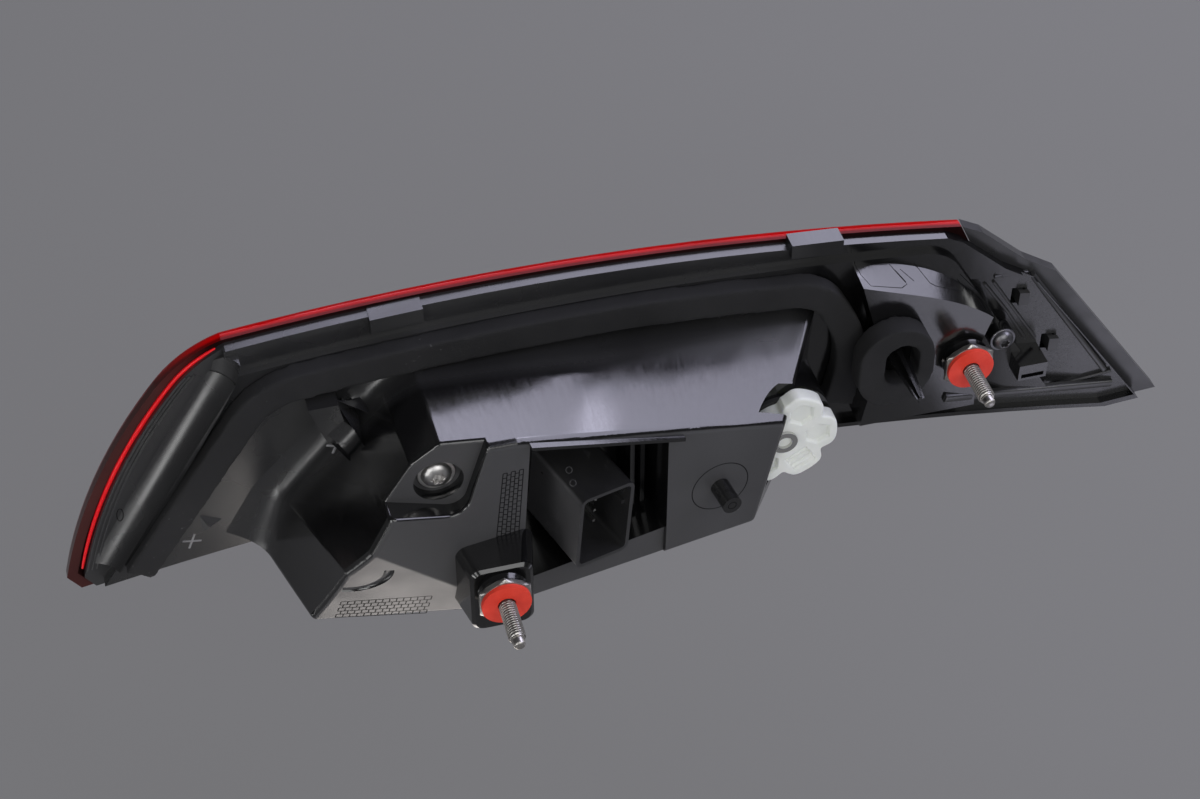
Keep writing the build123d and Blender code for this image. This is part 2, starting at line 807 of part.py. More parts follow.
# Connector socket: a shrouded block seated on the floor of its recess
recess_floor_plane = back_plane.offset(-recess_depth)
with BuildPart() as connector_socket:
    with BuildSketch(plug_plane):
        RectangleRounded(plug_width, plug_height, plug_corner)
    extrude(amount=-plug_length)
    split(bisect_by=recess_floor_plane, keep=Keep.TOP)
    with BuildSketch(plug_plane):
        RectangleRounded(plug_width - 2 * plug_wall, plug_height - 2 * plug_wall, plug_corner - plug_wall)
    extrude(amount=-plug_mouth_depth, mode=Mode.SUBTRACT)
    # Keys on the long walls of the shroud
    for side in (-1, 1):
        with BuildSketch(plug_plane.offset(-plug_mouth_depth)):
            with Locations((side * (plug_width / 2 - plug_wall - key_height / 2), side * key_offset)):
                Rectangle(key_height, key_width)
        extrude(amount=plug_mouth_depth - key_setback)
    with BuildSketch(plug_plane):
        with GridLocations(pin_pitch, pin_pitch, pin_columns, pin_rows):
            Rectangle(pin_side, pin_side)
    extrude(amount=-plug_length, mode=Mode.SUBTRACT)

with BuildPart() as connector_pins:
    with BuildSketch(plug_plane.offset(-pin_below_mouth)):
        with GridLocations(pin_pitch, pin_pitch, pin_columns, pin_rows):
            Rectangle(pin_side, pin_side)
    extrude(amount=-plug_length)
    split(bisect_by=recess_floor_plane.offset(-shell_wall - pin_tail), keep=Keep.TOP)

# Bulb holder with its seal, contact, bulb and reflector, all on one axis
holder_seat_y = bay_floor_y - seal_ring_height
with BuildPart() as bulb_holder:
    with BuildSketch(at_depth(holder_seat_y)):
        with Locations(holder_at):
            Circle(holder_radius)
            with PolarLocations(holder_radius + lobe_cut_radius - lobe_cut_inset, holder_lobes):
                Circle(lobe_cut_radius, mode=Mode.SUBTRACT)
    extrude(amount=flange_height)
    with BuildSketch(at_depth(holder_seat_y - flange_height)):
        with Locations(holder_at):
            with PolarLocations(cell_ring, cell_count):
                RegularPolygon(cell_radius, 6)
    extrude(amount=-cell_depth, mode=Mode.SUBTRACT)
    add(drum(holder_at, neck_radius, holder_seat_y, holder_seat_y + neck_length))
    add(drum(holder_at, bulb_base_radius + bulb_clearance, holder_seat_y, holder_seat_y + neck_length),
        mode=Mode.SUBTRACT)

with BuildPart() as holder_seal:
    add(drum(holder_at, neck_radius + seal_ring_width, holder_seat_y, bay_floor_y))
    add(drum(holder_at, neck_radius, holder_seat_y, bay_floor_y), mode=Mode.SUBTRACT)

with BuildPart() as holder_contact:
    contact_y = holder_seat_y - flange_height
    add(drum(holder_at, contact_radius, contact_y - contact_height, contact_y))
    add(drum(holder_at, contact_bore, contact_y - contact_height, contact_y), mode=Mode.SUBTRACT)

bulb_neck_y = holder_seat_y + neck_length
with BuildPart() as bulb:
    add(drum(holder_at, bulb_base_radius, bulb_neck_y - bulb_base_length, bulb_neck_y))
    add(drum(holder_at, bulb_radius, bulb_neck_y, bulb_neck_y + bulb_length))
    fillet(bulb.faces().sort_by(Axis.Y)[-1].edges(), bulb_radius - bulb_tip_flat)

reflector_mouth_y = rim_y(holder_at[0] + reflector_mouth_radius) + bezel_front - bezel_wall - reflector_gap
with BuildPart() as bulb_reflector:
    with BuildSketch(Plane.XY.offset(holder_at[1])):
        with BuildLine():
            Polyline((holder_at[0] + bore_radius, chamber_floor_y),
                     (holder_at[0] + chamber_radius - 2 * reflector_wall, reflector_waist_y),
                     (holder_at[0] + reflector_mouth_radius - reflector_wall, reflector_mouth_y),
                     (holder_at[0] + reflector_mouth_radius, reflector_mouth_y),
                     (holder_at[0] + chamber_radius - reflector_wall, reflector_waist_y),
                     (holder_at[0] + bore_radius + reflector_wall, chamber_floor_y), close=True)
        make_face()
    revolve(axis=Axis((holder_at[0], 0, holder_at[1]), (0, 1, 0)))

# Inner bezel: face plate on a skirt, with a light tunnel and screw posts
bezel_back = bezel_front - bezel_wall
with BuildPart() as inner_bezel:
    add(layer(bezel_face.sketch, bezel_back, bezel_front))
    add(layer(bezel_skirt.sketch, tray_back, bezel_front))
    add(layer(tunnel_outer.sketch, board_face_y - crown_y, bezel_front))
    add(layer(post_face.sketch, board_face_y - crown_y, bezel_front))
    with BuildSketch(at_depth(board_face_y)):
        add(whole_view.sketch)
    extrude(amount=reach, mode=Mode.SUBTRACT)
    add(layer(tunnel_inner.sketch, -reach / 2, lens_crown), mode=Mode.SUBTRACT)
    add(layer(ledge_face.sketch, bezel_front - ledge_depth, lens_crown), mode=Mode.SUBTRACT)
    with BuildSketch(at_depth(board_face_y)):
        with Locations(window_at):
            with GridLocations(post_span_x, post_span_z, 2, 2):
                Circle(board_screw_radius + screw_clearance)
    extrude(amount=-board_screw_length, mode=Mode.SUBTRACT)
    add(drum(holder_at, reflector_mouth_radius - reflector_wall, board_face_y, crown_y), mode=Mode.SUBTRACT)

with BuildPart() as stop_diffuser:
    add(layer(diffuser_face.sketch, bezel_front - ledge_depth, bezel_front))

with BuildPart() as stop_led_board:
    with BuildSketch(at_depth(board_face_y)):
        with Locations(window_at):
            RectangleRounded(post_span_x + 2 * post_radius, window_height + 2 * tunnel_wall, board_corner)
            with GridLocations(post_span_x, post_span_z, 2, 2):
                Circle(board_screw_radius + screw_clearance, mode=Mode.SUBTRACT)
    extrude(amount=board_thickness)

with BuildPart() as stop_leds:
    with BuildSketch(at_depth(board_face_y)):
        with Locations(window_at):
            with GridLocations(led_pitch, led_pitch, led_columns, led_rows):
                Rectangle(led_side, led_side)
    extrude(amount=-led_height)

with BuildPart() as board_screws:
    with BuildSketch(at_depth(board_face_y - board_thickness)):
        with Locations(window_at):
            with GridLocations(post_span_x, post_span_z, 2, 2):
                Circle(board_screw_head)
    extrude(amount=board_screw_head_height)
    with BuildSketch(at_depth(board_face_y - board_thickness)):
        with Locations(window_at):
            with GridLocations(post_span_x, post_span_z, 2, 2):
                Circle(board_screw_radius)
    extrude(amount=-board_screw_length)

with BuildPart() as tail_light_guide:
    add(layer(guide_face.sketch, bezel_front, bezel_front + guide_height))

with BuildPart() as tail_led_board:
    add(layer(tail_board_face.sketch, bezel_front, bezel_front + board_thickness))

with BuildPart() as tail_led:
    tail_led_back = bezel_front + board_thickness
    add(layer(tail_led_face.sketch, tail_led_back, tail_led_back + tail_led_height))

pieces = {
    "housing": housing, "outer_lens": outer_lens, "end_trim": end_trim, "rail_clips": rail_clips,
    "body_gasket": body_gasket, "clip_gasket": clip_gasket, "stud_outer": stud_outer, "stud_inner": stud_inner,
    "stud_seals": stud_seals, "housing_screw": housing_screw, "wing_screw": wing_screw,
    "connector_socket": connector_socket, "connector_pins": connector_pins, "bulb_holder": bulb_holder,
    "holder_seal": holder_seal, "holder_contact": holder_contact, "bulb": bulb, "bulb_reflector": bulb_reflector,
    "inner_bezel": inner_bezel, "stop_diffuser": stop_diffuser, "stop_led_board": stop_led_board,
    "stop_leds": stop_leds, "board_screws": board_screws, "tail_light_guide": tail_light_guide,
    "tail_led_board": tail_led_board, "tail_led": tail_led,
}
for name, piece in pieces.items():
    piece.part.label = name
    export_step(piece.part, f"parts/{name}.step")
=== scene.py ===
from math import atan2, cos, hypot, pi, radians, sin, sqrt

import bmesh
import bpy
from mathutils import Matrix, Vector, noise
from mathutils.bvhtree import BVHTree


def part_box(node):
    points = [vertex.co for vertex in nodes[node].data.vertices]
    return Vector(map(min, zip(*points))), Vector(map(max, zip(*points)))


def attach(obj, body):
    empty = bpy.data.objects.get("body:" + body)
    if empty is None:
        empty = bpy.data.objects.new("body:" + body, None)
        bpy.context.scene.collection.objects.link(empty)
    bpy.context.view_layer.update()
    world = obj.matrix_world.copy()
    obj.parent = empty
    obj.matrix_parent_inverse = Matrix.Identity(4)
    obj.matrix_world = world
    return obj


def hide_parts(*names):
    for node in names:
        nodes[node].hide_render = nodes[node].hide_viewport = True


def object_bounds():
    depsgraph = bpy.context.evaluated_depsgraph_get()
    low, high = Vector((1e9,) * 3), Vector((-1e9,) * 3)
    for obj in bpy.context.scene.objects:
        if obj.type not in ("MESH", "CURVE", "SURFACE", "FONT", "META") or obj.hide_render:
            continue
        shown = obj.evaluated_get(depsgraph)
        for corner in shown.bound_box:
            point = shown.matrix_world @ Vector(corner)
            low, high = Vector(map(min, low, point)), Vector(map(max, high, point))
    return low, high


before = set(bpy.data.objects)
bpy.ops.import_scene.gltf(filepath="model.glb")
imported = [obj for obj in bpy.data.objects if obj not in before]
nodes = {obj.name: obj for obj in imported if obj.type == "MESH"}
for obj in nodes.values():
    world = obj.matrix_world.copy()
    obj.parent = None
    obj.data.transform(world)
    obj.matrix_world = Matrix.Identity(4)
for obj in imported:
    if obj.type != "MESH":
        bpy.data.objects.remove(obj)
cad_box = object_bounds()
MM = 0.001
OUTWARD = Vector((0, -1, 0))

# Plane of the deep back face, which leans by the box's turn

BACK_TURN = radians(8)
BACK_PLACE = Vector((0, 20, 0)) * MM
BACK_ACROSS = Vector((cos(BACK_TURN), sin(BACK_TURN), 0))
BACK_UP = Vector((0, 0, 1))
BACK_NORMAL = Vector((sin(BACK_TURN), -cos(BACK_TURN), 0))
BACK_REACH = BACK_PLACE.dot(BACK_NORMAL)

# Arc of the lamp's rim, seen from above, in millimetres

RIM_RADIUS, RIM_MIDDLE, RIM_DEPTH = 1000.0, 45.0, 80.0


# Material helpers

NOISE_LOW, NOISE_HIGH = 0.3, 0.7
GRAIN_DEPTH = 0.1 * MM
WEAR_FINENESS = 3
BLUE_SHARE = 1.04


def new_material(name):
    """Empty node material with a principled shader."""
    material = bpy.data.materials.new(name)
    material.use_nodes = True
    tree = material.node_tree
    shader = tree.nodes["Principled BSDF"]
    return material, tree, shader


def feed(tree, socket, value):
    """Link a socket's source, or set a constant on it."""
    if isinstance(value, bpy.types.NodeSocket):
        tree.links.new(value, socket)
    elif isinstance(value, tuple):
        socket.default_value = (*value, 1)
    else:
        socket.default_value = value


def finish(tree, shader, colour, roughness, normal, specular=0.5):
    """Feed the shader's colour, roughness and bump, and set how strongly it reflects."""
    feed(tree, shader.inputs["Base Color"], colour)
    feed(tree, shader.inputs["Roughness"], roughness)
    feed(tree, shader.inputs["Normal"], normal)
    shader.inputs["Specular IOR Level"].default_value = specular


def coordinates(tree, stretch=(1, 1, 1)):
    """Object coordinates in metres, stretched for grain that runs one way."""
    source = tree.nodes.new("ShaderNodeTexCoord")
    mapping = tree.nodes.new("ShaderNodeMapping")
    mapping.inputs["Scale"].default_value = stretch
    tree.links.new(source.outputs["Object"], mapping.inputs["Vector"])
    return mapping.outputs["Vector"]


def split(tree, vector):
    """The three parts of a vector."""
    node = tree.nodes.new("ShaderNodeSeparateXYZ")
    tree.links.new(vector, node.inputs["Vector"])
    return node.outputs


def facing(tree):
    """The three parts of the surface normal."""
    return split(tree, tree.nodes.new("ShaderNodeNewGeometry").outputs["Normal"])


def noise_value(tree, vector, scale, detail=3.0, roughness=0.55):
    """Noise texture read as a single value."""
    texture = tree.nodes.new("ShaderNodeTexNoise")
    texture.inputs["Scale"].default_value = scale
    texture.inputs["Detail"].default_value = detail
    texture.inputs["Roughness"].default_value = roughness
    tree.links.new(vector, texture.inputs["Vector"])
    return texture.outputs["Fac"]


def mapped(tree, value, low, high, start=NOISE_LOW, end=NOISE_HIGH):
    """Value carried from one range to another, and held inside it."""
    node = tree.nodes.new("ShaderNodeMapRange")
    node.inputs["From Min"].default_value = start
    node.inputs["From Max"].default_value = end
    node.inputs["To Min"].default_value = low
    node.inputs["To Max"].default_value = high
    tree.links.new(value, node.inputs["Value"])
    return node.outputs["Result"]


def mottled(tree, vector, scale):
    """Noise spread over the whole range from zero to one."""
    return mapped(tree, noise_value(tree, vector, scale), 0, 1)


def calculated(tree, operation, first, second):
    """Result of one step of arithmetic."""
    node = tree.nodes.new("ShaderNodeMath")
    node.operation = operation
    feed(tree, node.inputs[0], first)
    feed(tree, node.inputs[1], second)
    return node.outputs[0]


def times(tree, first, second):
    """Product of two values."""
    return calculated(tree, "MULTIPLY", first, second)


def largest(tree, first, second):
    """Larger of two values."""
    return calculated(tree, "MAXIMUM", first, second)


def mixed(tree, kind, factor, first, second):
    """Mix of two colours or of two values by a factor."""
    node = tree.nodes.new("ShaderNodeMix")
    node.data_type = kind
    feed(tree, node.inputs["A"], first)
    feed(tree, node.inputs["B"], second)
    tree.links.new(factor, node.inputs["Factor"])
    return node.outputs["Result"]


def blended(tree, factor, first, second):
    """Colour mixed between two colours by a factor."""
    return mixed(tree, "RGBA", factor, first, second)


def between(tree, factor, first, second):
    """Value mixed between two values by a factor."""
    return mixed(tree, "FLOAT", factor, first, second)


def bumped(tree, height, strength, distance=GRAIN_DEPTH, normal=None):
    """Bump from a height value, on top of another bump if one is given."""
    node = tree.nodes.new("ShaderNodeBump")
    node.inputs["Strength"].default_value = strength
    node.inputs["Distance"].default_value = distance
    tree.links.new(height, node.inputs["Height"])
    if normal is not None:
        tree.links.new(normal, node.inputs["Normal"])
    return node.outputs["Normal"]


def grey(value):
    """Near-neutral colour, a trace bluer than grey."""
    return (value, value, value * BLUE_SHARE)


def surface(name, dark, light, rough, grain, bump, metal=0.0, patch=25.0, specular=0.5):
    """Material with mottled colour, uneven roughness and a fine grain."""
    material, tree, shader = new_material(name)
    vector = coordinates(tree)
    colour = blended(tree, mottled(tree, vector, patch), dark, light)
    wear = noise_value(tree, vector, patch * WEAR_FINENESS, detail=5.0)
    fine = noise_value(tree, vector, grain, detail=2.0)
    finish(tree, shader, colour, mapped(tree, wear, *rough), bumped(tree, fine, bump), specular)
    shader.inputs["Metallic"].default_value = metal
    return material


def metal_surface(name, dark, light, rough, bump=0.1, patch=25.0, grain=2200):
    """Bare or plated metal."""
    return surface(name, dark, light, rough, grain, bump, metal=1.0, patch=patch)


# Housing: where its faces turn from gloss to satin, greyer there with painted sheen

BACK_FACING = (-0.93, -0.8)
DEEP_FACES = (32 * MM, 42 * MM)
PROUD_FACES = (0.5 * MM, 1.2 * MM)
INBOARD_FACES, INBOARD_SHEEN = (192 * MM, 204 * MM), 0.35
RIM_SIDE_DEPTH = (54 * MM, 60 * MM)
RIM_SIDE_END = (118 * MM, 128 * MM)
STREAK_STRETCH = (150, 14, 150)
RIPPLE_DEPTH = 1.0 * MM
HEIGHT_SPAN = 40 * MM


def back_height(tree, vector):
    """Height above the plane of the deep back face."""
    node = tree.nodes.new("ShaderNodeVectorMath")
    node.operation = "DOT_PRODUCT"
    tree.links.new(vector, node.inputs[0])
    node.inputs[1].default_value = BACK_NORMAL
    reach = (BACK_REACH - HEIGHT_SPAN, BACK_REACH + HEIGHT_SPAN)
    return mapped(tree, node.outputs["Value"], -HEIGHT_SPAN, HEIGHT_SPAN, *reach)


def housing_material():
    """Glossy black moulding with fine streaks: satin on the deep back faces, where the greyer colour is
    painted sheen, and greyer painted sheen on the rim side.
    """
    material, tree, shader = new_material("housing_black")
    vector = coordinates(tree)
    axes = split(tree, vector)
    mottle = mottled(tree, vector, 22.0)
    outward = mapped(tree, facing(tree)["Y"], 1, 0, *BACK_FACING)
    deep = mapped(tree, axes["Y"], 1, 0, *DEEP_FACES)
    flush = mapped(tree, back_height(tree, vector), 1, 0, *PROUD_FACES)
    inboard = mapped(tree, axes["X"], 0, INBOARD_SHEEN, *INBOARD_FACES)
    # Satin on the outward-facing deep faces and the inboard end; the greyer colour it brings there is painted
    # sheen
    satin_and_sheen = times(tree, outward, largest(tree, times(tree, deep, flush), inboard))
    # Towards the rim the gloss is rougher, and the greyer colour there is painted sheen
    rim_side = times(tree, mapped(tree, axes["Y"], 0, 1, *RIM_SIDE_DEPTH),
                     mapped(tree, axes["X"], 1, 0, *RIM_SIDE_END))
    gloss_and_rim_sheen_colour = blended(tree, rim_side, blended(tree, mottle, grey(0.004), grey(0.007)),
                           blended(tree, mottle, grey(0.017), grey(0.025)))
    sheen_colour = blended(tree, mottle, grey(0.044), grey(0.054))
    streaks = noise_value(tree, coordinates(tree, STREAK_STRETCH), 5.0, detail=6.0, roughness=0.7)
    gloss_rough = between(tree, rim_side, mapped(tree, streaks, 0.10, 0.21),
                          mapped(tree, mottle, 0.25, 0.31))
    satin_rough = mapped(tree, noise_value(tree, vector, 60.0), 0.40, 0.52)
    grain = noise_value(tree, vector, 1700.0, detail=2.0)
    rippled = bumped(tree, noise_value(tree, vector, 45.0, detail=1.0), 0.10, RIPPLE_DEPTH)
    finish(tree, shader, blended(tree, satin_and_sheen, gloss_and_rim_sheen_colour, sheen_colour),
           between(tree, satin_and_sheen, gloss_rough, satin_rough),
           bumped(tree, grain, 0.10, normal=rippled), specular=0.8)
    return material


# Lens: painted glow along its edge, painted shade on its sides and its overhang past the housing, and its
# flutes

FRONT_FACING, SIDE_FACING, REAR_FACING = (0.25, 0.6), (0.1, 0.4), (-0.7, -0.4)
OVERHANG_END = (-100 * MM, -80 * MM)
GLOW_START, GLOW_END = (0.4 * MM, 1.6 * MM), (2.8 * MM, 4.8 * MM)
OFFSET_SPAN = 20 * MM
FLUTE_PITCH, FLUTE_DEPTH = 5 * MM, 0.5 * MM
WAVE_PERIOD = 2 * pi / 20


def rim_offset(tree, vector):
    """Depth in front of the lamp's curved rim, from the rim's radius and its middle."""
    axes = split(tree, vector)
    aside = calculated(tree, "SUBTRACT", axes["X"], RIM_MIDDLE * MM)
    fall = times(tree, times(tree, aside, aside), 0.5 / (RIM_RADIUS * MM))
    depth = calculated(tree, "ADD", axes["Y"], fall)
    return mapped(tree, depth, 0, OFFSET_SPAN, RIM_DEPTH * MM, RIM_DEPTH * MM + OFFSET_SPAN)


def lens_material():
    """Clear red plastic: fluted front, painted glow along the edge, painted shade on the other sides and the
    back, and a dull brownish painted shade on the overhang.
    """
    material, tree, shader = new_material("lens_red")
    vector = coordinates(tree)
    mottle = mottled(tree, vector, 30.0)
    side = facing(tree)["Y"]
    front = mapped(tree, side, 0, 1, *FRONT_FACING)
    hidden = mapped(tree, side, 1, 0, *SIDE_FACING)
    outboard = mapped(tree, split(tree, vector)["X"], 1, 0, *OVERHANG_END)
    covered = mapped(tree, outboard, 1, 0, 0.0, 1.0)
    back = times(tree, mapped(tree, side, 1, 0, *REAR_FACING), covered)
    offset = rim_offset(tree, vector)
    # A band along the edge is painted in the brighter red of wall, a painted glow of light carried through
    # the lens
    glow_band = times(tree, mapped(tree, offset, 0, 1, *GLOW_START), mapped(tree, offset, 1, 0, *GLOW_END))
    wall = blended(tree, mottle, (0.40, 0.001, 0.001), (0.55, 0.001, 0.002))
    # shade is the darker red painted on the other sides as shade
    shade = blended(tree, mottle, (0.09, 0.001, 0.001), (0.13, 0.001, 0.002))
    face = blended(tree, mottle, (0.80, 0.012, 0.016), (0.88, 0.020, 0.024))
    # Dull brownish painted shade on the overhang's sides
    overhang_shade = blended(tree, mottle, (0.050, 0.019, 0.018), (0.072, 0.027, 0.025))
    bright = blended(tree, front, blended(tree, glow_band, shade, wall), face)
    # Painted shade, near black, on the back faces behind the housing
    back_shaded = blended(tree, back, bright, (0.012, 0.004, 0.004))
    colour = blended(tree, times(tree, hidden, outboard), back_shaded, overhang_shade)
    rough = mapped(tree, noise_value(tree, vector, 90.0), 0.05, 0.12)
    flutes = tree.nodes.new("ShaderNodeTexWave")
    flutes.inputs["Scale"].default_value = WAVE_PERIOD / FLUTE_PITCH
    tree.links.new(vector, flutes.inputs["Vector"])
    fine = bumped(tree, noise_value(tree, vector, 700.0), 0.03)
    fluted = bumped(tree, times(tree, flutes.outputs["Fac"], front), 0.25, FLUTE_DEPTH, fine)
    finish(tree, shader, colour, rough, fluted, specular=0.14)
    feed(tree, shader.inputs["Transmission Weight"], times(tree, front, 0.55))
    feed(tree, shader.inputs["Specular Tint"], (1.0, 0.06, 0.06))
    return material


# Foam, socket and nylon

CELL_DEPTH = 0.15 * MM
LIT_FLANK_FACING, LIT_FLANK_END = (-0.8, -0.6), (30 * MM, 33 * MM)
SCRATCH_STRETCH = (260, 90, 1300)
NYLON_GLOW, NYLON_REACH = 0.35, (3 * MM, 3 * MM, 2.5 * MM)


def foam_material():
    """Near-black closed-cell foam with a dusting of pale specks."""
    material, tree, shader = new_material("foam_black")
    vector = coordinates(tree)
    mottle = mottled(tree, vector, 40.0)
    base = blended(tree, mottle, grey(0.016), grey(0.024))
    specks = mapped(tree, noise_value(tree, vector, 620.0, detail=1.0), 0, 1, 0.70, 0.78)
    patches = mapped(tree, noise_value(tree, vector, 26.0), 0, 0.6, 0.5, 0.7)
    colour = blended(tree, times(tree, specks, patches), base, grey(0.16))
    cells = noise_value(tree, vector, 2400.0, detail=2.0)
    finish(tree, shader, colour, mapped(tree, mottle, 0.86, 0.97),
           bumped(tree, cells, 0.6, CELL_DEPTH), specular=0.25)
    return material


def socket_material():
    """Satin black plastic with painted light that makes its flank greyer, scuffed in fine scratches."""
    material, tree, shader = new_material("socket_black")
    vector = coordinates(tree)
    mottle = mottled(tree, vector, 35.0)
    # Faces turned outboard, on the socket's outboard part, are painted greyer as light falling on them
    lit_flank = times(tree, mapped(tree, facing(tree)["X"], 1, 0, *LIT_FLANK_FACING),
                  mapped(tree, split(tree, vector)["X"], 1, 0, *LIT_FLANK_END))
    base = blended(tree, lit_flank, blended(tree, mottle, grey(0.016), grey(0.026)),
                   blended(tree, mottle, grey(0.075), grey(0.105)))
    fibres = noise_value(tree, coordinates(tree, SCRATCH_STRETCH), 1.0, detail=4.0)
    scratches = mapped(tree, fibres, 0, 1, 0.62, 0.72)
    patches = mapped(tree, noise_value(tree, vector, 90.0), 0, 0.5, 0.48, 0.66)
    finish(tree, shader, blended(tree, times(tree, scratches, patches), base, grey(0.11)),
           mapped(tree, noise_value(tree, vector, 120.0), 0.26, 0.42),
           bumped(tree, noise_value(tree, vector, 1400.0), 0.12), specular=0.8)
    return material


def nylon_material():
    """Milky nylon that lets a little light in."""
    material, tree, shader = new_material("nylon")
    vector = coordinates(tree)
    mottle = mottled(tree, vector, 60.0)
    finish(tree, shader, blended(tree, mottle, (0.70, 0.73, 0.69), (0.80, 0.82, 0.77)),
           mapped(tree, noise_value(tree, vector, 150.0), 0.3, 0.45),
           bumped(tree, noise_value(tree, vector, 900.0), 0.08))
    shader.inputs["Subsurface Weight"].default_value = NYLON_GLOW
    shader.inputs["Subsurface Radius"].default_value = NYLON_REACH
    shader.inputs["Subsurface Scale"].default_value = 1.0
    return material


# Dress of the CAD solids

housing_black = housing_material()
lens_red = lens_material()
foam_black = foam_material()
socket_black = socket_material()
nylon = nylon_material()
trim_black = surface("trim_black", grey(0.022), grey(0.032), (0.26, 0.4), 1500, 0.1, specular=0.8)
steel = metal_surface("steel", (0.50, 0.49, 0.48), (0.68, 0.67, 0.66), (0.3, 0.45), patch=150)
zinc = metal_surface("zinc", (0.36, 0.345, 0.33), (0.56, 0.54, 0.51), (0.3, 0.45), patch=120)
# Darker zinc for the thread's roots: painted shade in the grooves
painted_thread_shade = metal_surface("painted_thread_shade", (0.10, 0.095, 0.09), (0.16, 0.152, 0.145), (0.45, 0.6), patch=120)
screw_grey = metal_surface("screw_grey", (0.13, 0.13, 0.135), (0.21, 0.21, 0.22), (0.35, 0.5), patch=150)
tin = metal_surface("tin", (0.55, 0.55, 0.53), (0.7, 0.7, 0.68), (0.2, 0.35), bump=0.08)
chrome = metal_surface("chrome", (0.75, 0.75, 0.76), (0.85, 0.85, 0.86), (0.05, 0.12), bump=0.03, grain=1200)
seal_red = surface("seal_red", (0.74, 0.042, 0.022), (0.86, 0.070, 0.040), (0.5, 0.65), 900, 0.2,
                   patch=140, specular=0.3)
seal_black = surface("seal_black", grey(0.012), grey(0.02), (0.5, 0.7), 1600, 0.2)
bezel = surface("bezel", grey(0.22), grey(0.3), (0.2, 0.35), 1200, 0.08)
clear = surface("clear", (0.75, 0.72, 0.72), (0.85, 0.82, 0.82), (0.1, 0.2), 900, 0.04)
board = surface("board", (0.02, 0.12, 0.05), (0.035, 0.18, 0.08), (0.4, 0.55), 1500, 0.1)
emitter = surface("emitter", (0.75, 0.65, 0.3), (0.85, 0.78, 0.45), (0.35, 0.5), 1500, 0.1)
bulb_glass = surface("bulb_glass", (0.85, 0.86, 0.86), (0.92, 0.93, 0.93), (0.04, 0.1), 700, 0.02)
weld_red = surface("weld_red", (0.85, 0.005, 0.010), (0.97, 0.010, 0.018), (0.3, 0.4), 900, 0.05,
                   specular=0.3)
mark_black = surface("mark_black", grey(0.006), grey(0.010), (0.5, 0.65), 1500, 0.1, specular=0.1)
# Pale grey: real scuffs on the socket, and a painted highlight on the raised crosses
scuff_and_highlight_grey = surface("scuff_and_highlight_grey", grey(0.14), grey(0.22), (0.5, 0.65), 1500, 0.15)

dress = {
    "housing": housing_black, "outer_lens": lens_red, "end_trim": trim_black, "rail_clips": housing_black,
    "body_gasket": foam_black, "clip_gasket": foam_black, "stud_outer": zinc, "stud_inner": zinc,
    "stud_seals": seal_red, "housing_screw": zinc, "wing_screw": zinc, "connector_socket": socket_black,
    "connector_pins": tin, "bulb_holder": nylon, "holder_seal": seal_black, "holder_contact": tin,
    "bulb": bulb_glass, "bulb_reflector": chrome, "inner_bezel": bezel, "stop_diffuser": clear,
    "stop_led_board": board, "stop_leds": emitter, "board_screws": zinc, "tail_light_guide": clear,
    "tail_led_board": board, "tail_led": emitter,
}
for name, material in dress.items():
    data = nodes[name].data
    data.materials.clear()
    data.materials.append(material)


# Camera

PHOTO_WIDTH, PHOTO_HEIGHT = 1200, 799
CAMERA_LENS, CAMERA_SENSOR = 69.0, 36.0
CAMERA_TURN, CAMERA_TILT = radians(15), radians(44)
CAMERA_PLACE = Vector((-0.0995, -0.4898, 0.576))


def add_camera():
    """Camera at the photograph's viewing angle; gives back where it stands and looks."""
    right = Vector((cos(CAMERA_TURN), -sin(CAMERA_TURN), 0))
    up = Vector((sin(CAMERA_TURN) * sin(CAMERA_TILT), cos(CAMERA_TURN) * sin(CAMERA_TILT), cos(CAMERA_TILT)))
    camera = bpy.data.cameras.new("camera")
    camera.lens = CAMERA_LENS
    camera.sensor_width = CAMERA_SENSOR
    viewer = bpy.data.objects.new("camera", camera)
    bpy.context.collection.objects.link(viewer)
    place = Matrix((right, up, right.cross(up))).transposed().to_4x4()
    place.translation = CAMERA_PLACE
    viewer.matrix_world = place
    bpy.context.scene.camera = viewer
    return place


camera_place = add_camera()


# Mesh helpers

SHARP_ANGLE = radians(35)
RIDGE_SINK = 0.2
BAR_HALF = ((-0.5, -0.25), (-0.46, 0.7), (-0.38, 0.92), (-0.28, 1.0))
BAR_PROFILE = BAR_HALF + tuple((-across, out) for across, out in reversed(BAR_HALF))


def add_piece(name, mesh, material, smooth=True):
    """Finish a piece: outward normals, material and ride."""
    bmesh.ops.recalc_face_normals(mesh, faces=mesh.faces)
    data = bpy.data.meshes.new(name)
    mesh.to_mesh(data)
    mesh.free()
    data.materials.append(material)
    piece = bpy.data.objects.new(name, data)
    bpy.context.collection.objects.link(piece)
    if smooth:
        data.shade_smooth()
        data.set_sharp_from_angle(angle=SHARP_ANGLE)
    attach(piece, "root")
    return piece


def skin(mesh, rings):
    """Skin of quads over rings of points, with both ends filled."""
    rows = [[mesh.verts.new(point) for point in ring] for ring in rings]
    for near, far in zip(rows, rows[1:]):
        for index, corner in enumerate(near):
            after = (index + 1) % len(near)
            mesh.faces.new((corner, near[after], far[after], far[index]))
    mesh.faces.new(rows[0])
    mesh.faces.new(rows[-1])


def turned_ring(place, out, radius_at, steps):
    """Ring of points round an outward axis through a place, a distance out along it."""
    angles = [2 * pi * step / steps for step in range(steps)]
    return [place + Vector((radius_at(a) * cos(a), -out, radius_at(a) * sin(a))) for a in angles]


def round_at(radius):
    """Radius for turned_ring that is the same all round."""
    return lambda angle: radius


def smooth_step(value, start, end):
    """Zero before start, one after end, smooth between."""
    share = min(1.0, max(0.0, (value - start) / (end - start)))
    return share * share * (3 - 2 * share)


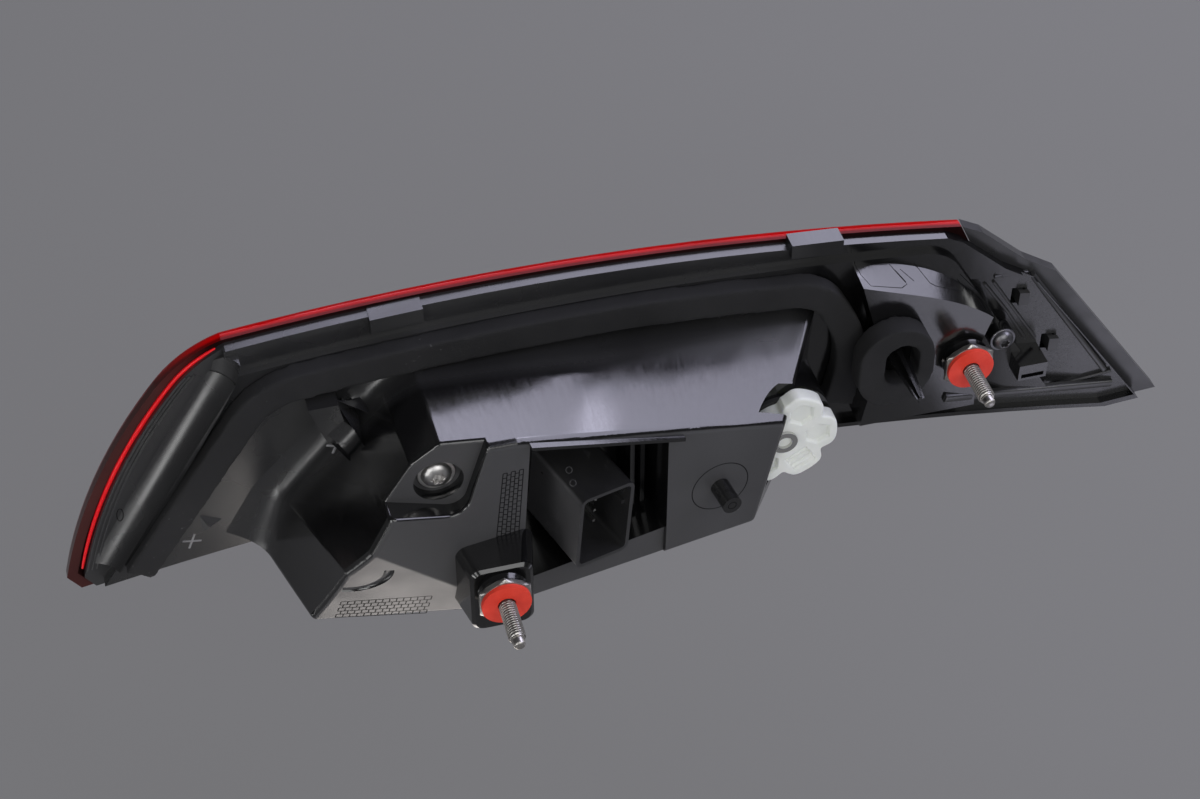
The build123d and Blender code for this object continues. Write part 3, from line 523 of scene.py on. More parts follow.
def middle_at(low, high, depth):
    """Point in the middle of a box seen from outside, at a depth."""
    return Vector(((low[0] + high[0]) / 2, depth, (low[2] + high[2]) / 2))


def surface_tree(*names):
    """Search tree over the meshes of CAD nodes."""
    points, faces = [], []
    for name in names:
        data = nodes[name].data
        faces += [[len(points) + index for index in polygon.vertices] for polygon in data.polygons]
        points += [vertex.co for vertex in data.vertices]
    return BVHTree.FromPolygons(points, faces)


def seen_at(tree, spot):
    """Point and normal of a surface under a pixel of the photograph."""
    pixel = CAMERA_SENSOR / CAMERA_LENS / PHOTO_WIDTH
    ray = Vector(((spot[0] - PHOTO_WIDTH / 2) * pixel, (PHOTO_HEIGHT / 2 - spot[1]) * pixel, -1))
    sight = camera_place.to_3x3() @ ray.normalized()
    place, normal, _, _ = tree.ray_cast(camera_place.translation, sight)
    if normal is not None and normal.dot(sight) > 0:
        normal = -normal
    return place, normal


def seen_path(tree, spots):
    """Points and normals under pixels of the photograph, without those that miss the surface."""
    hits = [seen_at(tree, spot) for spot in spots]
    return [hit for hit in hits if hit[0] is not None]


def line_between(points, gap):
    """Points along a run of straight lines, about a gap apart."""
    path = [points[0]]
    for start, end in zip(points, points[1:]):
        count = max(1, round((end - start).length / gap))
        path += [start.lerp(end, step / count) for step in range(1, count + 1)]
    return path


def chord(points, index, reach=1):
    """Run of a path about one of its points, from its neighbour behind to the one ahead."""
    return points[min(index + reach, len(points) - 1)] - points[max(index - reach, 0)]


def circle_points(centre, across, up, radius, steps):
    """Points round a circle, the first one again at the end."""
    angles = [2 * pi * step / steps for step in range(steps + 1)]
    return [centre + across * radius * cos(a) + up * radius * sin(a) for a in angles]


def pixel_circle(spot, radius, steps):
    """Points round a circle in the photograph's pixels."""
    return circle_points(Vector(spot), Vector((1, 0)), Vector((0, 1)), radius, steps)


def add_ridge(mesh, path, width, height):
    """Low ridge along points with their normals; its edges sink a little into the surface."""
    places = [place for place, _ in path]
    rows = []
    for index, (place, normal) in enumerate(path):
        side = normal.cross(chord(places, index)).normalized() * width / 2
        crest, sunk = normal * height, normal * height * RIDGE_SINK
        rows.append([mesh.verts.new(p) for p in (place - side - sunk, place + crest, place + side - sunk)])
    for near, far in zip(rows, rows[1:]):
        for left in range(2):
            mesh.faces.new((near[left], near[left + 1], far[left + 1], far[left]))


def add_bar(mesh, path, width, height):
    """Bar with rounded top edges along points, sunk a little at its foot."""
    rings = []
    for index, place in enumerate(path):
        side = OUTWARD.cross(chord(path, index)).normalized()
        rings.append([place + side * width * across + OUTWARD * height * out for across, out in BAR_PROFILE])
    skin(mesh, rings)


housing_tree = surface_tree("housing")
shell_tree = surface_tree("housing", "end_trim")
socket_tree = surface_tree("connector_socket")


# Foam gaskets

SOFTEN_FACTOR, SOFTEN_ROUNDS = 0.5, 3
FOAM_LUMPS = ((70, 0.22 * MM), (420, 0.06 * MM))
FOAM_INSET = 0.05 * MM


def soft_copy(node, name, voxel):
    """Foam piece from a CAD solid: remeshed, its edges softened and its faces uneven."""
    piece = bpy.data.objects.new(name, nodes[node].data.copy())
    bpy.context.collection.objects.link(piece)
    remesh = piece.modifiers.new("remesh", "REMESH")
    remesh.mode = "VOXEL"
    remesh.voxel_size = voxel
    soften = piece.modifiers.new("soften", "SMOOTH")
    soften.factor = SOFTEN_FACTOR
    soften.iterations = SOFTEN_ROUNDS
    shape = bpy.data.meshes.new_from_object(piece.evaluated_get(bpy.context.evaluated_depsgraph_get()))
    piece.modifiers.clear()
    piece.data = shape
    for vertex in shape.vertices:
        lump = sum(noise.noise(vertex.co * fineness) * height for fineness, height in FOAM_LUMPS)
        vertex.co += vertex.normal * (lump - FOAM_INSET)
    shape.materials.clear()
    shape.materials.append(foam_black)
    shape.shade_smooth()
    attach(piece, "root")
    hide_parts(node)


soft_copy("body_gasket", "foam_strip", 0.9 * MM)
soft_copy("clip_gasket", "foam_ring", 0.7 * MM)


# Threaded studs

STUD_STEPS = 48
STUD_RADIUS, STUD_LENGTH = 3.0 * MM, 15.5 * MM
THREAD_PITCH, THREAD_DEPTH, THREAD_SLICES = 1.0 * MM, 0.61 * MM, 10
THREAD_START, THREAD_FADE, CREST_RISE = 1.0 * MM, 1.2 * MM, (0.12, 0.88)
ROOT_START, ROOT_END, ROOT_SHARE = 1.0 * MM, 0.6 * MM, 0.55
POINT_RADIUS, POINT_LENGTH = 2.0 * MM, 3.0 * MM
POINT_PROFILE = ((0.02, 1.0), (0.72, 1.0), (0.9, 0.86), (1.0, 0.6))
SEAL_THICKNESS = 1.5 * MM
HEX_APOTHEM, HEX_HEIGHT, HEX_BEVEL = 8.75 * MM, 5.0 * MM, 0.5 * MM
HEX_CHAMFER, HEX_CORNER = HEX_APOTHEM * 1.04, HEX_APOTHEM * 1.2
FLANGE_HEIGHT = 2.0 * MM
FLANGE_BACK, COLLAR_BACK = -SEAL_THICKNESS - FLANGE_HEIGHT, -SEAL_THICKNESS - HEX_HEIGHT
HEX_PROFILE = (
    (-SEAL_THICKNESS, HEX_CHAMFER - HEX_BEVEL), (-SEAL_THICKNESS - HEX_BEVEL * 0.25, HEX_CHAMFER),
    (-SEAL_THICKNESS - HEX_BEVEL * 1.3, HEX_CORNER), (FLANGE_BACK + HEX_BEVEL, HEX_CORNER),
    (FLANGE_BACK, HEX_CHAMFER),
)
COLLAR_PROFILE = (
    (FLANGE_BACK, HEX_APOTHEM * 0.86), (FLANGE_BACK - 0.4 * MM, HEX_APOTHEM * 0.91),
    (COLLAR_BACK + 0.6 * MM, HEX_APOTHEM * 0.94), (COLLAR_BACK, HEX_APOTHEM * 0.98),
)


def thread_radius(out, angle):
    """Radius of a right-hand thread that fades at its start and its end."""
    phase = (out / THREAD_PITCH - angle / (2 * pi)) % 1.0
    crest = smooth_step(1 - abs(2 * phase - 1), *CREST_RISE)
    taper = smooth_step(out, STUD_LENGTH, STUD_LENGTH - THREAD_FADE)
    start = smooth_step(out, 0.0, THREAD_START)
    return STUD_RADIUS - THREAD_DEPTH * (1 - crest * taper * start)


def hex_radius(angle, limit):
    """Radius of a hexagon, cut back to a circle."""
    turn = (angle + pi / 6) % (pi / 3) - pi / 6
    return min(HEX_APOTHEM / cos(turn), limit)


def stud_rings(place, back):
    """Rings of a stud from its back end to its tip: plain shank, cut thread and dog point."""
    shank = round_at(STUD_RADIUS)
    rings = [turned_ring(place, out, shank, STUD_STEPS) for out in (back, -SEAL_THICKNESS)]
    for step in range(round(STUD_LENGTH / THREAD_PITCH * THREAD_SLICES) + 1):
        out = step * THREAD_PITCH / THREAD_SLICES
        rings.append(turned_ring(place, out, lambda a: thread_radius(out, a), STUD_STEPS))
    for share, size in POINT_PROFILE:
        out = STUD_LENGTH + POINT_LENGTH * share
        rings.append(turned_ring(place, out, round_at(POINT_RADIUS * size), STUD_STEPS))
    return rings


def hexagon_rings(place):
    """Rings of the hexagon behind the seal, with its corners chamfered."""
    return [turned_ring(place, out, lambda a: hex_radius(a, limit), STUD_STEPS) for out, limit in HEX_PROFILE]


def shade_thread_roots(mesh, place):
    """Paint shade into the roots of the thread with the piece's second, darker material."""
    for face in mesh.faces:
        middle = face.calc_center_median()
        reach = hypot(middle.x - place.x, middle.z - place.z)
        cut = ROOT_START < place.y - middle.y < STUD_LENGTH - ROOT_END
        face.material_index = 1 if cut and reach < STUD_RADIUS - THREAD_DEPTH * ROOT_SHARE else 0


def add_collar(name, place):
    """Black moulded collar between the hexagon and the housing."""
    mesh = bmesh.new()
    skin(mesh, [turned_ring(place, out, round_at(radius), STUD_STEPS) for out, radius in COLLAR_PROFILE])
    add_piece(name, mesh, housing_black)


def add_stud(node, name):
    """Stud with a chamfered hexagon, a cut thread and a dog point, on a collar."""
    low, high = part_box(node)
    seat = low[1] + STUD_LENGTH + POINT_LENGTH
    place = middle_at(low, high, seat)
    mesh = bmesh.new()
    skin(mesh, stud_rings(place, seat - high[1]))
    skin(mesh, hexagon_rings(place))
    shade_thread_roots(mesh, place)
    piece = add_piece(name, mesh, zinc)
    piece.data.materials.append(painted_thread_shade)
    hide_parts(node)
    add_collar(name + "_collar", place)


add_stud("stud_outer", "threaded_stud_outer")
add_stud("stud_inner", "threaded_stud_inner")


# Screws with a six-lobed drive

SCREW_STEPS, DOME_STEPS = 96, 8
SHANK_SHARE, NECK_SHARE = 0.3, 0.32
HEAD_RIM, HEAD_DOME, DOME_SWING = 0.28, 0.8, radians(62)
RIM_PROFILE = ((0.0, 0.97), (0.15, 1.0), (0.8, 1.0), (1.0, 0.97))
DOME_FOOT = 1.02
DRIVE_LOBES, DRIVE_WAVE = 6, 0.17
DRIVE_PROFILE = ((0.0, 1.12), (0.04, 1.0), (0.5, 0.93))
DRIVE_FLOOR, DRIVE_POINT = 0.58, 0.4


def lobed(radius):
    """Radius for turned_ring that swells in the drive's lobes."""
    return lambda angle: radius * (1 + DRIVE_WAVE * cos(DRIVE_LOBES * angle))


def screw_profile(length, radius, height, drive):
    """Depths and radii of a screw: shank, flat rim, domed head and lobed recess."""
    rim, dome = height * HEAD_RIM, radius * HEAD_DOME
    profile = [(length, round_at(radius * SHANK_SHARE)), (height, round_at(radius * NECK_SHARE))]
    profile += [(height - rim * share, round_at(radius * size)) for share, size in RIM_PROFILE]
    profile.append((height - rim * DOME_FOOT, round_at(dome * DOME_FOOT)))
    for step in range(1, DOME_STEPS + 1):
        swing = DOME_SWING * step / DOME_STEPS
        depth = (height - rim) * (1 - sin(swing) / sin(DOME_SWING))
        profile.append((depth, round_at(dome * cos(swing))))
    profile += [(height * share, lobed(drive * size)) for share, size in DRIVE_PROFILE]
    profile.append((height * DRIVE_FLOOR, round_at(drive * DRIVE_POINT)))
    return profile


def add_screw(node, name, material, radius, height, drive):
    """Screw with a domed head of a radius and a height, and a drive of a radius."""
    low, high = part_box(node)
    top = middle_at(low, high, low[1])
    profile = screw_profile(high[1] - low[1], radius, height, drive)
    mesh = bmesh.new()
    skin(mesh, [turned_ring(top, -depth, radius_at, SCREW_STEPS) for depth, radius_at in profile])
    piece = add_piece(name, mesh, material)
    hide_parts(node)


add_screw("housing_screw", "lobed_screw_housing", steel, radius=6.4 * MM, height=3.4 * MM, drive=2.1 * MM)
add_screw("wing_screw", "lobed_screw_wing", screw_grey, radius=4.8 * MM, height=3.0 * MM, drive=1.6 * MM)


# Bulb holder

HOLDER_STEPS, HOLDER_ROWS = 180, 44
HOLDER_RADIUS, HOLDER_HUB, HOLDER_BARREL = 19.7 * MM, 5.0 * MM, 9.5 * MM
HOLDER_ROUND, ROUND_SWINGS = 0.9 * MM, (30, 60, 90)
HOLDER_LOBES, HOLDER_TURN = 6, radians(2)
LOBE_ANGLE, LOBE_RING = 2 * pi / HOLDER_LOBES, 12.4 * MM
NOTCH_DEPTH, NOTCH_POWER = 3.4 * MM, 4
CUT_MIDDLE, CUT_DEPTH = radians(126), 6.2 * MM
CUT_START, CUT_FULL = cos(radians(42)), cos(radians(26))
RIBBED_EVERY, RIBBED_FIRST = 3, 2
RIBBED_LENGTH, RIBBED_WIDTH, RIBBED_DEPTH, RIBBED_EDGE = 3.9 * MM, 4.6 * MM, 1.1 * MM, (1.0, 0.86)
POCKET_RIB_PITCH, POCKET_RIB_SHARE, POCKET_RIB_RISE = 2.3 * MM, 0.85, (0.45, 0.85)
HEX_POCKET_EDGE, HEX_POCKET_DEPTH = (4.4 * MM, 3.7 * MM), 1.3 * MM


def holder_edge(angle):
    """Radius of the holder's grip: lobes with rounded notches between, cut back beside the box."""
    notch = 0.5 - 0.5 * cos(HOLDER_LOBES * (angle - HOLDER_TURN))
    beside = smooth_step(cos(angle - CUT_MIDDLE), CUT_START, CUT_FULL)
    return HOLDER_RADIUS - max(NOTCH_DEPTH * notch ** NOTCH_POWER, CUT_DEPTH * beside)


def pocket_depth(spot, angle):
    """Depth of the pockets in the holder's face: every third ribbed, the others six-sided."""
    lobe = round((angle - HOLDER_TURN) / LOBE_ANGLE)
    turn = lobe * LOBE_ANGLE + HOLDER_TURN
    along = spot[0] * cos(turn) + spot[1] * sin(turn) - LOBE_RING
    aside = spot[1] * cos(turn) - spot[0] * sin(turn)
    if lobe % RIBBED_EVERY == RIBBED_FIRST:
        inside = smooth_step(max(abs(along) / RIBBED_LENGTH, abs(aside) / RIBBED_WIDTH), *RIBBED_EDGE)
        rib = 0.5 + 0.5 * cos(2 * pi * along / POCKET_RIB_PITCH)
        return RIBBED_DEPTH * inside * (1 - POCKET_RIB_SHARE * smooth_step(rib, *POCKET_RIB_RISE))
    reach = max(abs(along), abs(along) / 2 + abs(aside) * sqrt(3) / 2)
    return HEX_POCKET_DEPTH * smooth_step(reach, *HEX_POCKET_EDGE)


def holder_face_ring(place, row):
    """Ring of the holder's face, one of its rows from the hub to the rounded edge."""
    ring = []
    for step in range(HOLDER_STEPS):
        angle = 2 * pi * step / HOLDER_STEPS
        edge = holder_edge(angle) - HOLDER_ROUND
        radius = HOLDER_HUB + (edge - HOLDER_HUB) * row / HOLDER_ROWS
        spot = (radius * cos(angle), radius * sin(angle))
        ring.append(place + Vector((spot[0], pocket_depth(spot, angle), spot[1])))
    return ring


def add_holder():
    """Nylon twist holder: lobed grip with pockets and a rounded edge, on a barrel."""
    low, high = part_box("bulb_holder")
    place = middle_at(low, high, low[1])
    seat = place[1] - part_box("holder_seal")[0][1]
    rings = [holder_face_ring(place, row) for row in range(HOLDER_ROWS + 1)]
    for swing in ROUND_SWINGS:
        depth = HOLDER_ROUND * (1 - cos(radians(swing)))
        grow = HOLDER_ROUND * (sin(radians(swing)) - 1)
        rings.append(turned_ring(place, -depth, lambda a: holder_edge(a) + grow, HOLDER_STEPS))
    barrel = round_at(HOLDER_BARREL)
    for out, radius_at in ((seat, holder_edge), (seat, barrel), (place[1] - high[1], barrel)):
        rings.append(turned_ring(place, out, radius_at, HOLDER_STEPS))
    mesh = bmesh.new()
    skin(mesh, rings)
    piece = add_piece("lobed_holder", mesh, nylon)
    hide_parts("bulb_holder")


add_holder()


# Red weld bead and thin ribs along the lens's outboard edge, in millimetres

LENS_EDGE = ((-140.0, -13.5), (-116.5, 38.0), (-99.5, 59.6))
LENS_CORNER = (-78.0, 71.6)
EDGE_STEPS, CORNER_STEPS, CORNER_BEND = 60, 20, 0.5
BEAD_SHIFT, BEAD_OFFSET, BEAD_RADIUS = 4.9, -1.0, 0.8
BEAD_SPAN, BEAD_SIDES = (0.03, 0.95), 10
BEAD_WANDER, BEAD_FINENESS = 0.12, 120
RIB_SHIFTS, RIB_OFFSET, RIB_WIDTH, RIB_HEIGHT = (6.6, 8.2, 9.8), -3.0, 0.8, 0.45
RIB_SPAN = (0.02, 0.80)


def rim_depth(x):
    """Depth of the lamp's curved rim, in millimetres."""
    return RIM_DEPTH - RIM_RADIUS + sqrt(RIM_RADIUS ** 2 - (x - RIM_MIDDLE) ** 2)


def circle_through(first, second, third):
    """Centre and radius of the circle through three points."""
    (ax, ay), (bx, by), (cx, cy) = first, second, third
    twice = 2 * (ax * (by - cy) + bx * (cy - ay) + cx * (ay - by))
    squares = [x * x + y * y for x, y in (first, second, third)]
    x = (squares[0] * (by - cy) + squares[1] * (cy - ay) + squares[2] * (ay - by)) / twice
    y = (squares[0] * (cx - bx) + squares[1] * (ax - cx) + squares[2] * (bx - ax)) / twice
    return x, y, hypot(ax - x, ay - y)


def lens_edge_path(shift, offset, span):
    """Points along a span of the lens's edge, an arc and a bend, moved inboard and off the rim."""
    x, z, radius = circle_through(*LENS_EDGE)
    start = atan2(LENS_EDGE[0][1] - z, LENS_EDGE[0][0] - x)
    sweep = (atan2(LENS_EDGE[2][1] - z, LENS_EDGE[2][0] - x) - start + pi) % (2 * pi) - pi
    angles = [start + sweep * step / EDGE_STEPS for step in range(EDGE_STEPS + 1)]
    outline = [Vector((x + radius * cos(a), z + radius * sin(a))) for a in angles]
    heading = (outline[-1] - outline[-2]).normalized()
    shoulder, corner = outline[-1], Vector(LENS_CORNER)
    bend = shoulder + heading * (corner - shoulder).length * CORNER_BEND
    for step in range(1, CORNER_STEPS + 1):
        share = step / CORNER_STEPS
        outline.append(shoulder.lerp(bend, share).lerp(bend.lerp(corner, share), share))
    count = len(outline) - 1
    kept = outline[round(count * span[0]):round(count * span[1]) + 1]
    return [Vector((p.x + shift, rim_depth(p.x + shift) + offset, p.y)) * MM for p in kept]


def add_bead():
    """Bead of red plastic along the seam, thin at its ends."""
    path = lens_edge_path(BEAD_SHIFT, BEAD_OFFSET, BEAD_SPAN)
    turns = [2 * pi * step / BEAD_SIDES for step in range(BEAD_SIDES)]
    rings = []
    for index, place in enumerate(path):
        along = chord(path, index).normalized()
        side = OUTWARD.cross(along).normalized()
        size = BEAD_RADIUS * (0.5 + 0.5 * sin(pi * index / (len(path) - 1)) ** 0.5)
        size *= MM * (1 + BEAD_WANDER * noise.noise(place * BEAD_FINENESS))
        rings.append([place + size * (side * cos(t) + OUTWARD * sin(t)) for t in turns])
    mesh = bmesh.new()
    skin(mesh, rings)
    add_piece("weld_bead", mesh, weld_red)


def add_edge_ribs():
    """Thin ribs along the flange beside the seam."""
    mesh = bmesh.new()
    for shift in RIB_SHIFTS:
        add_bar(mesh, lens_edge_path(shift, RIB_OFFSET, RIB_SPAN), RIB_WIDTH * MM, RIB_HEIGHT * MM)
    add_piece("flange_ribs", mesh, trim_black)


add_bead()
add_edge_ribs()


# Raised lines of the inboard end: the pixels that each follows, its width and height in millimetres

END_BARS = {
    "ridge": (((1031, 273), (1103, 367)), 2.6, 1.8),
    "foot": (((944, 397), (1004, 391), (1110, 381)), 3.4, 1.6),
    "bent step": (((984, 283), (1007, 311), (1023, 335)), 1.1, 0.9),
    "straight step": (((993, 281), (1034, 336)), 1.1, 0.9),
    "top step": (((994, 276), (1027, 271)), 1.2, 1.0),
    "low step": (((1050, 385), (1110, 369)), 1.4, 1.2),
}
END_BAR_GAP = 6 * MM


def add_end_bars():
    """Ridge, foot bar and step lines moulded on the inboard end."""
    mesh = bmesh.new()
    for spots, width, height in END_BARS.values():
        path = line_between([seen_at(shell_tree, spot)[0] for spot in spots], END_BAR_GAP)
        add_bar(mesh, path, width * MM, height * MM)
    add_piece("end_bars", mesh, trim_black)


add_end_bars()


# Hollow fillet where the box's outboard wall meets the gasket plate, along a line in millimetres

FILLET_LINE = ((-12.0, 49.5), (-24.0, 44.5), (-36.0, 34.0), (-52.0, 19.5), (-67.0, 6.0), (-78.5, -12.0))
FILLET_REACH, FILLET_GAP, FILLET_STEPS = 7.5 * MM, 2.0 * MM, 8
FILLET_SMOOTHING, FILLET_LIMIT = 4, 5 * FILLET_REACH
SEARCH_HEIGHT, ROOT_HEIGHT = 100 * MM, 0.4 * MM
PLATE_SINK, WALL_SINK = 0.3 * MM, 0.4 * MM


def fillet_ring(spot, away):
    """Section of the fillet at a spot: hollow arc from the plate to the wall, closed behind both."""
    foot, _, _, _ = housing_tree.ray_cast(spot + away * FILLET_REACH + OUTWARD * SEARCH_HEIGHT, -OUTWARD)
    if foot is None:
        return None
    above = foot + away * FILLET_REACH + OUTWARD * FILLET_REACH
    wall, _, _, _ = housing_tree.ray_cast(above, -away)
    root, _, _, _ = housing_tree.ray_cast(foot + OUTWARD * ROOT_HEIGHT, -away)
    if wall is None or root is None or (wall - above).length > FILLET_LIMIT:
        return None
    shares = [step / FILLET_STEPS for step in range(FILLET_STEPS + 1)]
    arc = [foot.lerp(root, share).lerp(root.lerp(wall, share), share) for share in shares]
    sunk, behind = -OUTWARD * PLATE_SINK, away * WALL_SINK
    return [foot + sunk] + arc + [wall - behind, root - behind + sunk]


def add_fillet():
    """Smooth hollow sweep from the plate up the box's wall."""
    path = line_between([Vector((x, 0, z)) * MM for x, z in FILLET_LINE], FILLET_GAP)
    rings = []
    for index, spot in enumerate(path):
        away = chord(path, index, FILLET_SMOOTHING).cross(OUTWARD).normalized()
        if away.x > 0:
            away = -away
        ring = fillet_ring(spot, away)
        if ring is not None:
            rings.append(ring)
    mesh = bmesh.new()
    skin(mesh, rings)
    add_piece("box_fillet", mesh, housing_black)


add_fillet()


# Mould marks: places on the faces in millimetres, the others as pixels of the photograph

FACET_PLACE = Vector((-41.2, 14.2, 20.9)) * MM
FACET_ACROSS = Vector((0.705, 0.0996, -0.702))
FACET_UP = Vector((0.694, -0.3006, 0.6545))
FACET_NORMAL = Vector((-0.146, -0.949, -0.281)).normalized()
MARK_WIDTH, MARK_RISE, MARK_GAP = 0.46 * MM, 0.05 * MM, 1.5 * MM
BACK_PATCH, BACK_BRICKS = ((1.4, 9.7), (4.8, 40.2), (11.9, 39.6), (9.1, 5.9)), 14
FACET_PATCH, FACET_BRICKS = ((16.3, -31.7), (38.0, -10.1), (46.1, -21.1), (23.2, -42.0)), 13
BRICK_ROWS = 5
PIN_ROOT, PIN_LENGTH = (84.0, 2.3), 10.0
PIN_RINGS = ((0.0, 10.6 * MM, 96), (PIN_LENGTH, 1.5 * MM, 32))
WING_MARKS = (
    ((855, 265), (861, 275), (871, 286), (902, 288), (907, 284), (889, 264)),
    ((914, 263), (930, 283), (936, 286), (962, 291), (964, 288), (957, 279)),
    ((895, 270), (906, 282)), ((900, 269), (914, 281)),
    ((960, 274), (976, 290)), ((964, 272), (982, 291)),
)
WING_GAP, WING_SHARE = 3.0, 0.7
OVAL_SPOT, OVAL_RADIUS, OVAL_SHARE, OVAL_STEPS = (120, 515), 6.0, 0.55, 24
CROSS_SPOTS, CROSS_TURNS = ((192, 541), (336, 446)), (-18, 66)
CROSS_ARM, CROSS_WIDTH, CROSS_RISE = 3.4 * MM, 1.0 * MM, 0.16 * MM
STOP_SPOTS = ((198, 514), (225, 518), (202, 534))
STOP_HEIGHT, STOP_FOOT, STOP_LIFT = 2.6 * MM, 0.5 * MM, 0.1 * MM
STOP_TAPER, STOP_BEVEL = 0.93, 0.25 * MM
SCUFF_RINGS, SCUFF_RADIUS, SCUFF_STEPS = ((569, 470), (573, 483)), 3.2, 18
SCRATCH_MIDDLE, SCRATCH_SPREAD, SCRATCH_COUNT = (551, 522), (22, 26), 26
SCRATCH_SHARES, SCRATCH_REACH = (-1, -0.3, 0.4, 1), (2.0, 3.0)
SCRATCH_SEED, SCRATCH_DRAW = 7, (3.7, 1.3, 0.5)
SCUFF_WIDTH, SCRATCH_WIDTH, SCUFF_RISE = 0.22 * MM, 0.16 * MM, 0.02 * MM


def back_point(u, v, out=0.0):
    """Point on or off the back face from its own coordinates in millimetres."""
    return BACK_PLACE + (BACK_ACROSS * u + BACK_UP * v + BACK_NORMAL * out) * MM


def facet_point(u, v):
    """Point on the lower facet from its own two coordinates in millimetres."""
    return FACET_PLACE + (FACET_ACROSS * u + FACET_UP * v) * MM


def brick_lines(corners, bricks):
    """Lines of a brick pattern inside four corners: long courses and staggered joints."""
    near_start, near_end, far_end, far_start = corners

    def at(along, across):
        return near_start.lerp(near_end, along).lerp(far_start.lerp(far_end, along), across)

    lines = [(at(0, row / BRICK_ROWS), at(1, row / BRICK_ROWS)) for row in range(BRICK_ROWS + 1)]
    for row in range(BRICK_ROWS):
        shift = 0.5 * (row % 2)
        for brick in range(bricks + 1):
            along = (brick + shift) / bricks
            if along <= 1:
                lines.append((at(along, row / BRICK_ROWS), at(along, (row + 1) / BRICK_ROWS)))
    return lines


def add_bricks(mesh, corners, bricks, normal):
    """Brick pattern of thin lines on a flat face."""
    for ends in brick_lines(corners, bricks):
        path = [(point, normal) for point in line_between(ends, MARK_GAP)]
        add_ridge(mesh, path, MARK_WIDTH, MARK_RISE)


def add_marks():
    """Thin dark lines: two brick patches, rings at the pin, outlines on the wing and a small oval."""
    mesh = bmesh.new()
    add_bricks(mesh, [back_point(*corner) for corner in BACK_PATCH], BACK_BRICKS, BACK_NORMAL)
    add_bricks(mesh, [facet_point(*corner) for corner in FACET_PATCH], FACET_BRICKS, FACET_NORMAL)
    for out, radius, steps in PIN_RINGS:
        ring = circle_points(back_point(*PIN_ROOT, out=out), BACK_ACROSS, BACK_UP, radius, steps)
        add_ridge(mesh, [(point, BACK_NORMAL) for point in ring], MARK_WIDTH, MARK_RISE)
    for spots in WING_MARKS:
        pixels = line_between([Vector(spot) for spot in spots], WING_GAP)
        add_ridge(mesh, seen_path(housing_tree, pixels), MARK_WIDTH * WING_SHARE, MARK_RISE)
    middle = OVAL_SPOT[0]
    oval = [Vector((middle + (point.x - middle) * OVAL_SHARE, point.y))
            for point in pixel_circle(OVAL_SPOT, OVAL_RADIUS, OVAL_STEPS)]
    add_ridge(mesh, seen_path(housing_tree, oval), MARK_WIDTH, MARK_RISE)
    add_piece("mould_lines", mesh, mark_black, smooth=False)


def add_crosses():
    """Two raised crosses on the gasket plate, their pale grey a painted highlight."""
    mesh = bmesh.new()
    for spot in CROSS_SPOTS:
        place, normal = seen_at(housing_tree, spot)
        for turn in CROSS_TURNS:
            across = Vector((cos(radians(turn)), 0, sin(radians(turn))))
            arm = (across - normal * across.dot(normal)).normalized() * CROSS_ARM
            path = [(point, normal) for point in (place - arm, place, place + arm)]
            add_ridge(mesh, path, CROSS_WIDTH, CROSS_RISE)
    add_piece("mould_crosses", mesh, scuff_and_highlight_grey, smooth=False)


def add_stop():
    """Small three-sided stop on the gasket plate."""
    mesh = bmesh.new()
    base = [seen_at(housing_tree, spot)[0] for spot in STOP_SPOTS]
    tip = (base[0] + base[1] + base[2]) / 3 + OUTWARD * STOP_HEIGHT
    foot = [mesh.verts.new(p - OUTWARD * STOP_FOOT) for p in base]
    crown = [mesh.verts.new(p.lerp(tip, STOP_TAPER) + OUTWARD * STOP_LIFT) for p in base]
    for index in range(3):
        after = (index + 1) % 3
        mesh.faces.new((foot[index], foot[after], crown[after], crown[index]))
    mesh.faces.new(crown)
    mesh.faces.new(foot)
    bmesh.ops.bevel(mesh, geom=mesh.edges[:], offset=STOP_BEVEL, segments=2, affect="EDGES")
    add_piece("plate_stop", mesh, housing_black)


def add_scuffs():
    """Pale scuffs on the socket's flank: two small rings and a patch of scratches."""
    mesh = bmesh.new()
    for spot in SCUFF_RINGS:
        ring = seen_path(socket_tree, pixel_circle(spot, SCUFF_RADIUS, SCUFF_STEPS))
        add_ridge(mesh, ring, SCUFF_WIDTH, SCUFF_RISE)
    noise.seed_set(SCRATCH_SEED)
    for index in range(SCRATCH_COUNT):
        wander = noise.noise_vector(Vector((index * SCRATCH_DRAW[0], *SCRATCH_DRAW[1:])))
        middle = Vector((SCRATCH_MIDDLE[0] + wander.x * SCRATCH_SPREAD[0],
                         SCRATCH_MIDDLE[1] + wander.y * SCRATCH_SPREAD[1]))
        length = SCRATCH_REACH[0] + SCRATCH_REACH[1] * abs(wander.y)
        reach = Vector((wander.z, wander.x)).normalized() * length
        path = seen_path(socket_tree, [middle + reach * share for share in SCRATCH_SHARES])
        if len(path) == len(SCRATCH_SHARES):
            add_ridge(mesh, path, SCRATCH_WIDTH, SCUFF_RISE)
    add_piece("socket_scuffs", mesh, scuff_and_highlight_grey, smooth=False)


add_marks()
add_crosses()
add_stop()
add_scuffs()


# Studio: plain grey floor, soft lamps and a dim world

FLOOR_HALF, FLOOR_DROP = 6.0, 0.10
FLOOR_DARK, FLOOR_LIGHT, FLOOR_ROUGHNESS = (0.5, 0.5, 0.51), (0.53, 0.53, 0.54), 0.8
BACKDROP_GREY, BACKDROP_SHARE = (0.147, 0.147, 0.150), 0.85
LAMP_TARGET, STRIP_TARGET = (0.05, 0.05, 0.0), (-0.1, 0.065, 0.03)
CARD_DROP, CARD_AIM = 0.09, 0.5
WHITE, COOL, PALE_COOL, WARM = (1, 1, 1), (0.81, 0.80, 1.0), (0.84, 0.83, 1.0), (1.0, 0.93, 0.88)
WORLD_COLOUR, WORLD_STRENGTH = (0.19, 0.19, 0.2), 0.35


